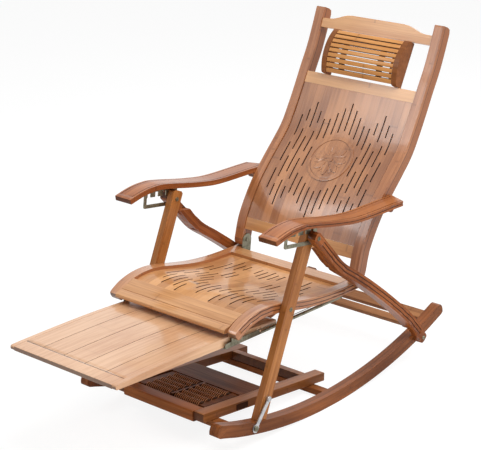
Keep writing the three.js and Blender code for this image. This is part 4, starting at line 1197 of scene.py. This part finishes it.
@dataclass
class Legs(Assembly):
    """Front legs, curved rear legs and the rod under the seat.

    Attributes:
        leg_edge: The rounding of the front legs' edges.
        crown: The way (y, z) that the rear legs' crown faces.
        curved_edge: The rounding of the rear legs' edges.
        curved_depth: The rear legs' depth.
        strap_edge: The rounding of the latch straps' edges.
        rod_chamfer: The chamfer at the rod's ends.
    """

    leg_edge: float = 0.0018
    crown: tuple[float, float] = (0.66, 0.75)
    curved_edge: float = 0.0028
    curved_depth: float = 0.03
    strap_edge: float = 0.0007
    rod_chamfer: float = 0.001

    def build(self) -> None:
        """Builds the rear legs, the rod and the bolts, and dresses the rest."""
        bench = self.bench
        bend = Bend(self.crown, OUTER, self.curved_edge, thick=self.curved_depth)
        bench.smooth(bench.both("rear_leg"), bend, "rear_legs", "dark_bamboo", "rear leg bamboo")
        self.rod()
        bench.dress(bench.both("front_leg"), "front leg bamboo", self.leg_edge)
        bench.dress(bench.both("latch_strap"), "bright steel", self.strap_edge)
        Fastener(bench).build("arm_pin", "rear_legs", washer=True)
        Fastener(bench).build("seat_bolt", "seat_frame")

    def rod(self) -> None:
        """Builds the rod between the rear legs."""
        low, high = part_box("seat_rest_rod")
        radius = (high.z - low.z) / 2
        chamfer = self.rod_chamfer
        stations = [(low.x, radius - chamfer), (low.x + chamfer, radius)]
        stations += [(high.x - chamfer, radius), (high.x, radius - chamfer)]
        piece = self.bench.turned("seat_rod", stations, (low + high) / 2, 32)
        self.bench.soften(piece, 0.0)
        self.bench.place(piece, "rear_legs", "bright_steel", "bright steel", ["seat_rest_rod"])


@dataclass
class Seat(Assembly):
    """Seat rails, slotted panel, guides and back hinges.

    Attributes:
        rail_edge: The rounding of the rails' edges.
        cross_edge: The rounding of the cross rails' edges.
        plate_edge: The rounding of the guides' and hinges' edges.
    """

    rail_edge: float = 0.003
    cross_edge: float = 0.0018
    plate_edge: float = 0.0003

    def build(self) -> None:
        """Builds the rails and the panel, and dresses the rest."""
        bench = self.bench
        rail = Bend(faces=INNER, edge=self.rail_edge)
        bench.smooth(
            bench.both("seat_rail"), rail, "seat_frame", "dark_bamboo", "seat rail bamboo"
        )
        bench.smooth(["seat_panel"], Bend(), "seat_frame", "light_bamboo", "seat bamboo")
        bench.dress(["seat_front_rail", "seat_rear_rail"], "seat cross bamboo", self.cross_edge)
        bench.dress(bench.both("footboard_guide", "back_hinge"), "zinc steel", self.plate_edge)


@dataclass
class Medallion(Assembly):
    """A carved ornament, a ring round a rosette of petals.

    Attributes:
        front: The way (y, z) that the back's front faces.
        radius: Its radius.
        rise: How far its carving stands off the panel.
        lift: The gap between it and the panel.
        ring: The radius of its ring.
        bevel: The width of the slopes at its rim and ring.
        groove: The width of the slopes beside its field.
        field_step: The distance between the field's rings.
        field_steps: The number of rings in the field.
        petals: The number of petals.
        petal_length: A petal's length.
        petal_width: A petal's width.
        petal_start: How far from the middle a petal starts.
        leaf: How a petal is scaled to a leaf between petals.
        leaf_start: How far a leaf lies further out than a petal.
        boss: The middle's height, as a share of the rise, and radius from below to the top.
        smooth_angle: Edges sharper than this stay sharp, in degrees.
    """

    front: tuple[float, float]
    radius: float = 0.077
    rise: float = 0.0022
    lift: float = 0.0003
    ring: float = 0.068
    bevel: float = 0.0012
    groove: float = 0.001
    field_step: float = 0.0078
    field_steps: int = 7
    petals: int = 8
    petal_length: float = 0.044
    petal_width: float = 0.02
    petal_start: float = 0.014
    leaf: tuple[float, ...] = (0.42, 0.72, 0.8, 1.0)
    leaf_start: float = 0.016
    boss: tuple[tuple[float, float], ...] = (
        (0.2, 0.0105), (0.8, 0.01), (0.95, 0.007), (0.8, 0.0035)
    )
    smooth_angle: float = 30.0

    def disc(self) -> Piece:
        """Builds the round plate with its ring and lowered field.

        Returns:
            The plate.
        """
        disc = self.bench.start(
            "disc", bpy.ops.mesh.primitive_circle_add, vertices=96, radius=self.radius,
            fill_type="NGON",
        )
        self.bench.edit()
        self.bench.draw(z=self.rise * 0.9)
        steps = [
            (self.bevel, self.rise * 0.1),
            (self.radius - self.ring - self.bevel, 0.0),
            (self.groove, -self.rise * 0.85),
            (self.bevel, 0.0),
            (self.groove, self.rise * 0.1),
        ]
        for thickness, depth in steps + [(self.field_step, 0.0)] * self.field_steps:
            bpy.ops.mesh.inset(thickness=thickness, depth=depth)
        self.bench.rest(outward=True)
        return disc

    def petal(self) -> Piece:
        """Builds one raised petal with a crest along it, pointing along +Y on the ground.

        Returns:
            The petal.
        """
        half = self.petal_length / 2
        middle = self.petal_start + half
        centre = (0.0, middle, 0.0)
        petal = self.bench.start(
            "petal", bpy.ops.mesh.primitive_circle_add, vertices=20, radius=half,
            fill_type="NGON", location=centre,
        )
        for corner in petal.data.vertices:
            share = (corner.co.y - middle) / half
            corner.co.x = math.copysign((1 - share * share), corner.co.x) * self.petal_width / 2
            if abs(share) > 0.999:
                corner.co.x = 0.0
        self.bench.edit()
        for lift, shrink in ((0.7, 1.0), (0.3, 0.8), (-0.25, 0.62), (-0.25, 0.2)):
            self.bench.draw(z=self.rise * lift)
            bpy.ops.transform.resize(value=(shrink, shrink, 1.0), center_override=centre)
        bpy.ops.mesh.select_all(action="SELECT")
        bpy.ops.mesh.remove_doubles(threshold=WELD)
        self.bench.rest(outward=True)
        return petal

    def build(self) -> None:
        """Builds the ornament and lays it on the panel's curve."""
        bench = self.bench
        parts = [self.disc()]
        petal = self.petal()
        leaf = Matrix.Diagonal(self.leaf) @ Matrix.Translation((0.0, self.leaf_start, 0.0))
        for i in range(self.petals):
            turn = Matrix.Rotation(2 * math.pi * i / self.petals, 4, "Z")
            parts.append(bench.copy(petal, f"petal_{i}", turn))
            turn = Matrix.Rotation(2 * math.pi * (i + 0.5) / self.petals, 4, "Z")
            parts.append(bench.copy(petal, f"leaf_{i}", turn @ leaf))
        bpy.data.objects.remove(petal)
        boss = bench.turned("boss", [(self.rise * share, radius) for share, radius in self.boss])
        boss.data.transform(Matrix.Rotation(-math.pi / 2, 4, "Y"))
        medallion = bench.join([*parts, boss], "carved_medallion")
        course = Course.read(bench.nodes["back_panel"], self.front, 1.0)
        self.lay(medallion, course)
        bench.soften(medallion, 0.0, angle=self.smooth_angle)
        # Hollows round the petals and in the ring are written here; the finish paints shade into
        # them
        bench.mark(medallion, course)
        bench.place(medallion, "back", "panel_bamboo", "back panel bamboo", ["back_medallion"])

    def lay(self, piece: Piece, course: Course) -> None:
        """Bends a flat piece from the ground onto the panel, in the medallion's place.

        Args:
            piece: The flat piece.
            course: The course of the panel's front.
        """
        low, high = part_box("back_medallion")
        middle = np.array([[(low.y + high.y) / 2, (low.z + high.z) / 2]])
        run, _, _ = course.measure(middle)
        for corner in piece.data.vertices:
            place, way = course.at(float(run[0]) + corner.co.y)
            out = Vector((0.0, -way.z, way.y))
            if out.dot(Vector((0.0, *self.front))) < 0:
                out.negate()
            spot = place + out * (corner.co.z + self.lift)
            corner.co = Vector((corner.co.x, spot.y, spot.z))
        piece.data.update()


@dataclass(frozen=True)
class Arc:
    """The headrest's curve in the side view.

    Attributes:
        crown: The way that its middle faces.
        way: The way up along it.
        centre: Its centre.
        radius: Its radius.
        half: Half its height.
    """

    crown: Vector
    way: Vector
    centre: Vector
    radius: float
    half: float

    @classmethod
    def read(cls, node: Piece, front: tuple[float, float]) -> "Arc":
        """Reads the curve from a headrest end's front edge.

        Args:
            node: The end's node.
            front: The way (y, z) that it faces.

        Returns:
            The arc.
        """
        rim = Course.read(node, front, 1.0).points
        a, b, c = rim[2], rim[len(rim) // 2], rim[-3]
        rows = np.array([b - a, c - a]) * 2
        spot = np.linalg.solve(rows, np.array([b @ b - a @ a, c @ c - a @ a]))
        centre = Vector((0.0, *spot))
        chord = Vector((0.0, *(rim[-1] - rim[0])))
        crown = Vector((0.0, -chord.z, chord.y)).normalized()
        if crown.dot(Vector((0.0, *b)) - centre) < 0:
            crown.negate()
        way = Vector((0.0, -crown.z, crown.y))
        if way.z < 0:
            way.negate()
        chord.normalize()
        reach = [corner.co.dot(chord) for corner in node.data.vertices]
        radius = float(np.linalg.norm(a - spot))
        return cls(crown, way, centre, radius, (max(reach) - min(reach)) / 2)

    def at(self, rise: float) -> tuple[float, Vector, Vector]:
        """Finds a place on the arc.

        Args:
            rise: How far above the middle it lies.

        Returns:
            Its turn from the middle, the way that it faces, and the way up along the arc.
        """
        turn = math.asin(rise / self.radius)
        out = self.crown * math.cos(turn) + self.way * math.sin(turn)
        return turn, out, self.way * math.cos(turn) - self.crown * math.sin(turn)


@dataclass
class Headrest(Assembly):
    """Two rounded ends with slats, battens and pegs between them.

    Attributes:
        front: The way (y, z) that the back's front faces.
        end_edge: The rounding of the ends' edges.
        end_round: The rounding of their front corners.
        end_back: How deep the corners at their back are, which stay sharp.
        near: How close to an edge a corner counts as part of it.
        slats: The number of slats.
        gap: The gap between slats.
        thick: A slat's thickness.
        slat_slope: The width of the slope round a slat's front.
        slat_fall: The depth of that slope.
        slat_edge: The rounding of a slat's edges.
        peg_radius: The radius of the pegs between slats.
        peg_half: Half a peg's length.
        peg_inset: How far a peg's middle lies inside the slats' ends.
        batten_width: A batten's width.
        batten_depth: How far a batten stands behind the slats.
        batten_share: A batten's place, as a share of half the slats' length.
        batten_steps: The number of flat stretches in a batten.
    """

    front: tuple[float, float]
    end_edge: float = 0.0016
    end_round: float = 0.008
    end_back: float = 0.004
    near: float = 0.0005
    slats: int = 9
    gap: float = 0.003
    thick: float = 0.008
    slat_slope: float = 0.0016
    slat_fall: float = 0.0012
    slat_edge: float = 0.0006
    peg_radius: float = 0.0026
    peg_half: float = 0.0035
    peg_inset: float = 0.006
    batten_width: float = 0.016
    batten_depth: float = 0.006
    batten_share: float = 0.57
    batten_steps: int = 12

    @cached_property
    def arc(self) -> Arc:
        """The curve that the ends' front edges follow."""
        return Arc.read(self.bench.nodes["headrest_end_left"], self.front)

    def build(self) -> None:
        """Builds the ends, the slats on their battens, and the pegs."""
        bench, arc = self.bench, self.arc
        low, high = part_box("headrest_end_left")
        end = self.end_plate(low.x, high.x)
        for side, s in SIDES:
            plate = bench.copy(end, f"headrest_plate_{side}", Matrix.Diagonal((s, 1.0, 1.0, 1.0)))
            bench.soften(plate, self.end_edge, 3)
            bench.mark(plate)
            node = f"headrest_end_{side}"
            bench.place(plate, "back", "post_bamboo", "headrest end bamboo", [node])
        bpy.data.objects.remove(end)
        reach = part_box("headrest_slats")[1].x
        run = 2 * (arc.half - self.gap)
        height = (run - (self.slats - 1) * self.gap) / self.slats
        peg = self.peg()
        slats, pegs = [], []
        for i in range(self.slats):
            rise = -arc.half + self.gap + height / 2 + i * (height + self.gap)
            slats.append(self.slat(i, rise, height, reach))
            if i:
                _, out, _ = arc.at(rise - height / 2 - self.gap / 2)
                spot = arc.centre + out * (arc.radius - self.peg_radius * 0.8)
                for name, s in SIDES:
                    move = Matrix.Translation((s * (reach - self.peg_inset), spot.y, spot.z))
                    pegs.append(bench.copy(peg, f"peg_{i}_{name}", move))
        bpy.data.objects.remove(peg)
        rack = bench.join(slats + self.battens(arc.half - height, reach), "headrest_rack")
        bench.soften(rack, 0.0)
        bench.mark(rack)
        bench.place(rack, "back", "light_bamboo", "slat bamboo", ["headrest_slats"])
        # Dark pegs: spacers between slats, whose dark finish also paints the shade at the ends of
        # the gaps
        bench.place(bench.join(pegs, "headrest_pegs"), "back", "brown_wood", "brown cross wood")

    def end_plate(self, start: float, end: float) -> Piece:
        """Cuts one end of the headrest from a round disc.

        Args:
            start: Where it starts across the chair.
            end: Where it ends.

        Returns:
            The end.
        """
        bench, arc = self.bench, self.arc
        centre, crown, way, half = arc.centre, arc.crown, arc.way, arc.half
        plate = bench.start(
            "end_plate", bpy.ops.mesh.primitive_cylinder_add, vertices=128, radius=arc.radius,
            depth=end - start, end_fill_type="NGON", rotation=(0.0, math.pi / 2, 0.0),
            location=((start + end) / 2, centre.y, centre.z),
        )
        node = bench.nodes["headrest_end_left"]
        back = min(corner.co.dot(crown) for corner in node.data.vertices)
        bench.edit()
        cuts = [(crown * back, -crown), (centre + way * half, way), (centre - way * half, -way)]
        for at, out in cuts:
            bpy.ops.mesh.select_all(action="SELECT")
            bpy.ops.mesh.bisect(plane_co=at, plane_no=out, use_fill=True, clear_outer=True)
        bpy.ops.mesh.select_all(action="SELECT")
        bpy.ops.mesh.remove_doubles(threshold=WELD)
        bpy.ops.mesh.select_mode(type="EDGE")
        bench.rest()
        points = plate.data.vertices
        for edge in plate.data.edges:
            a, b = (points[index].co for index in edge.vertices)
            lengthwise = abs(a.x - b.x) > 0.9 * (end - start)
            corner = abs(abs((a - centre).dot(way)) - half) < self.near
            edge.select = lengthwise and corner and (a.dot(crown) - back) > self.end_back
        for face in plate.data.polygons:
            face.select = False
        bpy.ops.object.mode_set(mode="EDIT")
        bpy.ops.mesh.bevel(offset=self.end_round, segments=5, affect="EDGES")
        bench.rest()
        return plate

    def slat(self, index: int, rise: float, height: float, half: float) -> Piece:
        """Builds one slat, crowned and with rounded edges, in its place on the arc.

        Args:
            index: Its number from below.
            rise: How far above the headrest's middle it lies.
            height: Its height.
            half: Half its length.

        Returns:
            The slat.
        """
        bench, arc = self.bench, self.arc
        turn, out, up = arc.at(rise)
        width = height / math.cos(turn)
        scale = (2 * half, width, self.thick)
        piece = bench.start(f"slat_{index}", bpy.ops.mesh.primitive_cube_add, scale, size=1.0)
        bench.edit()
        bench.rest()
        for face in piece.data.polygons:
            face.select = face.normal.z > 0.9
        bpy.ops.object.mode_set(mode="EDIT")
        bpy.ops.mesh.inset(thickness=self.slat_slope, depth=0.0)
        bench.rest()
        for corner in piece.data.vertices:
            rim = abs(corner.co.y) > width / 2 - self.near or abs(corner.co.x) > half - self.near
            if corner.co.z > 0 and rim:
                corner.co.z -= self.slat_fall
        move = Matrix((up.cross(out), up, out)).transposed().to_4x4()
        move.translation = arc.centre + out * (arc.radius - self.thick / 2)
        piece.data.transform(move)
        bench.pick(piece)
        bench.round(piece, self.slat_edge)
        return piece

    def peg(self) -> Piece:
        """Builds one of the pegs that close the gaps between slats, on the X axis; they are
        spacers, and their dark finish also paints the shade at the ends of the gaps.

        Returns:
            The peg.
        """
        half, radius = self.peg_half, self.peg_radius
        stations = [(-half, radius * 0.7), (-half * 0.7, radius)]
        stations += [(half * 0.7, radius), (half, radius * 0.7)]
        return self.bench.turned("peg", stations, faces=12)

    def battens(self, reach: float, half: float) -> list[Piece]:
        """Builds the two curved battens behind the slats.

        Args:
            reach: How far above and below the middle they run.
            half: Half the slats' length.

        Returns:
            The battens.
        """
        bench, arc = self.bench, self.arc
        inner = arc.radius - self.thick - self.batten_depth
        depth = self.thick * 0.5 + self.batten_depth
        scale = (self.batten_width, depth, 1.0)
        batten = bench.start("batten", bpy.ops.mesh.primitive_plane_add, scale, size=1.0)
        lean, out, up = arc.at(-reach)
        move = Matrix((Vector((1.0, 0.0, 0.0)), out, up)).transposed().to_4x4()
        move.translation = arc.centre + out * (inner + depth / 2)
        batten.data.transform(move)
        sign = -1.0 if arc.crown.cross(arc.way).x > 0 else 1.0
        turn = Matrix.Rotation(sign * 2 * lean / self.batten_steps, 4, "X")
        turn = Matrix.Translation(arc.centre) @ turn @ Matrix.Translation(-arc.centre)
        bench.edit()
        for _ in range(self.batten_steps):
            bench.draw()
            bench.rest()
            for corner in batten.data.vertices:
                if corner.select:
                    corner.co = turn @ corner.co
            bpy.ops.object.mode_set(mode="EDIT")
        bench.rest(outward=True)
        pieces = []
        for name, s in SIDES:
            move = Matrix.Translation((s * half * self.batten_share, 0.0, 0.0))
            pieces.append(bench.copy(batten, f"batten_{name}", move))
        bpy.data.objects.remove(batten)
        return pieces


@dataclass
class Back(Assembly):
    """Posts, rails, slotted panel, medallion and headrest.

    Attributes:
        front: The way (y, z) that the back's front faces.
        post_edge: The rounding of the posts' edges.
        cross_edge: The rounding of the cross rails' edges.
    """

    front: tuple[float, float] = (-0.86, 0.5)
    post_edge: float = 0.0035
    cross_edge: float = 0.0018

    def build(self) -> None:
        """Builds the posts, panel, medallion, headrest and bolts, and dresses the rest."""
        bench = self.bench
        bend = Bend(self.front, OUTER, self.post_edge)
        bench.smooth(bench.both("back_post"), bend, "back", "post_bamboo", "post bamboo")
        panel = Bend(self.front)
        bench.smooth(["back_panel"], panel, "back", "panel_bamboo", "back panel bamboo")
        Medallion(bench, self.front).build()
        Headrest(bench, self.front).build()
        cross = ["back_crest_rail", "back_mid_rail", "back_bottom_rail"]
        bench.dress(cross, "back cross bamboo", self.cross_edge)
        Fastener(bench).build("arm_pivot_bolt", "back")


@dataclass
class Armrests(Assembly):
    """Armrests and the racks under them.

    Attributes:
        arm_edge: The rounding of the armrests' edges.
        rack_edge: The rounding of the racks' edges.
    """

    arm_edge: float = 0.0022
    rack_edge: float = 0.0003

    def build(self) -> None:
        """Builds the armrests and dresses the racks."""
        bench = self.bench
        bend = Bend(faces=INNER, edge=self.arm_edge)
        bench.smooth(bench.both("armrest"), bend, "armrests", "post_bamboo", "armrest bamboo")
        bench.dress(bench.both("arm_rack"), "zinc steel", self.rack_edge)


@dataclass
class Footboard(Assembly):
    """The board that draws out under the seat.

    Attributes:
        edge: The rounding of its edges.
        pitch: The distance between cuts across its length.
    """

    edge: float = 0.0012
    pitch: float = 0.02

    def build(self) -> None:
        """Builds the side rails and the board, which follows a rail's line."""
        bench = self.bench
        rails = bench.both("footboard_rail")
        for names, guide in ((rails, ""), (["footboard_panel"], rails[0])):
            bend = Bend(faces=INNER, edge=self.edge, steps=2, pitch=self.pitch, guide=guide)
            bench.smooth(names, bend, "footboard", "light_bamboo", "footboard bamboo")


@dataclass
class RollerFrame(Assembly):
    """The frame of foot rollers between the rockers.

    Attributes:
        rail_edge: The rounding of the rails' edges.
        bar_edge: The rounding of the front bar's edges.
        tray_edge: The rounding of the tray's edges.
        rollers: The number of rollers.
        ribs: The ribs on each half of a roller.
        inner: Where a half's ribs start.
        outer: Where they end.
        crest: The ribs' radius.
        neck: The radius between ribs.
        axle: The axle's radius.
        smooth_angle: Edges sharper than this stay sharp, in degrees.
        neck_shade: How much of a hollow's shade a neck has.
    """

    rail_edge: float = 0.0015
    bar_edge: float = 0.0012
    tray_edge: float = 0.0006
    rollers: int = 5
    ribs: int = 14
    inner: float = 0.008
    outer: float = 0.103
    crest: float = 0.013
    neck: float = 0.009
    axle: float = 0.003
    smooth_angle: float = 50.0
    neck_shade: float = 0.6

    def build(self) -> None:
        """Builds the rollers and dresses the frame."""
        bench = self.bench
        rails = [*bench.both("roller_rail"), "roller_rear_bar"]
        bench.dress(rails, "base rail bamboo", self.rail_edge)
        bench.dress(["roller_front_bar"], "brown bar wood", self.bar_edge)
        bench.dress(["roller_mid_bar", "roller_tray"], "brown cross wood", self.tray_edge)
        model = self.roller()
        for i in range(1, self.rollers + 1):
            low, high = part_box(f"foot_roller_{i}")
            at = (low + high) / 2
            move = Matrix.Translation((0.0, at.y, at.z))
            piece = bench.copy(model, f"ribbed_roller_{i}", move)
            bench.soften(piece, 0.0, angle=self.smooth_angle)
            # Painted shade: the necks between ribs are darkened in the finish
            self.shade_necks(piece, at)
            bench.place(piece, f"roller_{i}", "brown_wood", "roller wood", [f"foot_roller_{i}"])
        bpy.data.objects.remove(model)

    def shade_necks(self, piece: Piece, at: Vector) -> None:
        """Marks the necks between a roller's ribs as hollows, which the finish darkens as painted
        shade.

        Args:
            piece: The roller.
            at: The middle of its axis.
        """
        shares = []
        for face in piece.data.polygons:
            depth = self.crest - math.hypot(face.center.y - at.y, face.center.z - at.z)
            share = min(1.0, max(0.0, depth / (self.crest - self.neck)))
            shares.append(share * self.neck_shade)
        self.bench.write(piece, "hollow", shares)

    def roller(self) -> Piece:
        """Builds one roller on the X axis, ribbed on both halves, on its axle.

        Returns:
            The roller.
        """
        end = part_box("foot_roller_1")[1].x
        pitch = (self.outer - self.inner) / self.ribs
        half = [(self.inner, self.axle), (self.inner, self.neck)]
        for i in range(self.ribs):
            start = self.inner + i * pitch
            half += [(start + 0.25 * pitch, self.crest), (start + 0.6 * pitch, self.crest)]
            half += [(start + 0.85 * pitch, self.neck), (start + pitch, self.neck)]
        half += [(self.outer, self.axle), (end, self.axle)]
        stations = [(-x, radius) for x, radius in reversed(half)] + half
        return self.bench.turned("roller_model", stations, faces=20)


# The room


@dataclass
class Studio:
    """Floor, light and camera.

    Attributes:
        frame_width: The picture's width in pixels.
        frame_height: Its height.
        focal: The lens in pixels.
        centre: The lens axis in the picture, in pixels.
        azimuth: The camera's turn round the chair, in degrees.
        elevation: Its height above the horizon, in degrees.
        place: Where it stands, in metres.
        sensor: The sensor's width in millimetres.
        target: Where the lamps are aimed.
        room: The strength of the room's even light.
        floor_size: The length of the floor's side.
        floor_glow: How much of the floor's white is its own, as the camera sees it.
        glow_power: The strength of that white.
        tones: The floor's two greys.
        cloud: How many of their patches there are in a metre.
        lamps: Each lamp's name, place, side's length in metres, and power in watts.
    """

    frame_width: float = 481.0
    frame_height: float = 450.0
    focal: float = 1550.54
    centre: tuple[float, float] = (231.77, 254.14)
    azimuth: float = 41.04
    elevation: float = 20.12
    place: Point = (2.7366, -3.1655, 1.9722)
    sensor: float = 36.0
    target: Point = (0.0, 0.0, 0.45)
    room: float = 0.32
    floor_size: float = 60.0
    floor_glow: float = 0.8
    glow_power: float = 1.1
    tones: tuple[Colour, Colour] = ((0.94, 0.94, 0.94), (0.96, 0.96, 0.96))
    cloud: float = 0.8
    lamps: tuple[tuple[str, Point, float, float], ...] = (
        ("key", (2.0, 0.2, 3.6), 3.2, 154.0),
        ("fill", (-1.8, -2.4, 3.0), 2.0, 11.0),
        ("sheen", (-1.1, -1.25, 1.95), 0.7, 6.0),
        ("rear", (-0.6, 3.0, 2.8), 2.0, 30.0),
    )

    def hang(self, name: str, data: bpy.types.ID, place: Point, way: Vector) -> Piece:
        """Hangs a camera or lamp.

        Args:
            name: Its name.
            data: The camera's or lamp's settings.
            place: Where it hangs, in metres.
            way: The way that it looks.

        Returns:
            The camera or lamp.
        """
        item = bpy.data.objects.new(name, data)
        item.location = Vector(place)
        item.rotation_mode = "QUATERNION"
        item.rotation_quaternion = way.to_track_quat("-Z", "Y")
        bpy.context.scene.collection.objects.link(item)
        return item

    def camera(self) -> None:
        """Sets the camera where the photograph was taken."""
        data = bpy.data.cameras.new("camera")
        data.sensor_width = self.sensor
        data.lens = self.focal / self.frame_width * self.sensor
        data.shift_x = (self.frame_width / 2 - self.centre[0]) / self.frame_width
        data.shift_y = (self.centre[1] - self.frame_height / 2) / self.frame_width
        data.clip_end = self.floor_size
        turn, lift = math.radians(self.azimuth), math.radians(self.elevation)
        level = math.cos(lift)
        back = Vector((math.sin(turn) * level, -math.cos(turn) * level, math.sin(lift)))
        bpy.context.scene.camera = self.hang("camera", data, self.place, -back)

    def lamp(self, name: str, place: Point, size: float, power: float) -> None:
        """Hangs a square soft lamp aimed at the chair.

        Args:
            name: The lamp's name.
            place: Where it hangs, in metres.
            size: The length of its side in metres.
            power: Its power in watts.
        """
        data = bpy.data.lights.new(name, "AREA")
        data.size = size
        data.energy = power
        self.hang(name, data, place, Vector(self.target) - Vector(place))

    def floor(self) -> None:
        """Lays a pale floor that looks white and keeps the chair's shadow."""
        bpy.ops.object.select_all(action="DESELECT")
        bpy.ops.mesh.primitive_plane_add(size=self.floor_size, location=(0.0, 0.0, 0.0))
        floor = bpy.context.object
        floor.name = "floor"
        graph = Graph(bpy.data.materials.new("floor"))
        x, y, z = graph.place()
        colour = graph.blend(graph.noise((x * self.cloud, y * self.cloud, z)), *self.tones)
        shader = graph.shade({"Base Color": colour, "Roughness": 0.9, "Specular IOR Level": 0.1})
        light = {"Color": (1.0, 1.0, 1.0), "Strength": self.glow_power}
        glow = graph.make("ShaderNodeEmission", light)
        path = graph.make("ShaderNodeLightPath", out="Is Camera Ray")
        seen = path.bigger(path.beside("Is Glossy Ray")).bigger(path.beside("Is Transmission Ray"))
        mixed = graph.make("ShaderNodeMixShader", [seen * self.floor_glow, shader, glow])
        floor.data.materials.append(graph.show(mixed))

    def world(self) -> None:
        """Fills the room with even light, white where the camera and the gloss see it."""
        graph = Graph(bpy.data.worlds.new("room"))
        path = graph.make("ShaderNodeLightPath", out="Is Camera Ray")
        seen = path.bigger(path.beside("Is Glossy Ray"))
        values = {"Value": seen, "To Min": self.room, "To Max": 1.0}
        strength = graph.make("ShaderNodeMapRange", values)
        light = graph.make("ShaderNodeBackground", {"Color": (1.0, 1.0, 1.0), "Strength": strength})
        bpy.context.scene.world = graph.show(light)

    def build(self) -> None:
        """Sets up the whole room."""
        bpy.context.scene.view_settings.view_transform = "Standard"
        self.floor()
        self.world()
        for lamp in self.lamps:
            self.lamp(*lamp)
        self.camera()
        log.info("room is ready")


def main() -> None:
    """Builds the chair's looks and the room."""
    bench = Workbench(frame["nodes"], Palette())
    for part in (Base, Legs, Seat, Back, Armrests, Footboard, RollerFrame):
        part(bench).build()
    Studio().build()


if __name__ == "__main__":
    main()
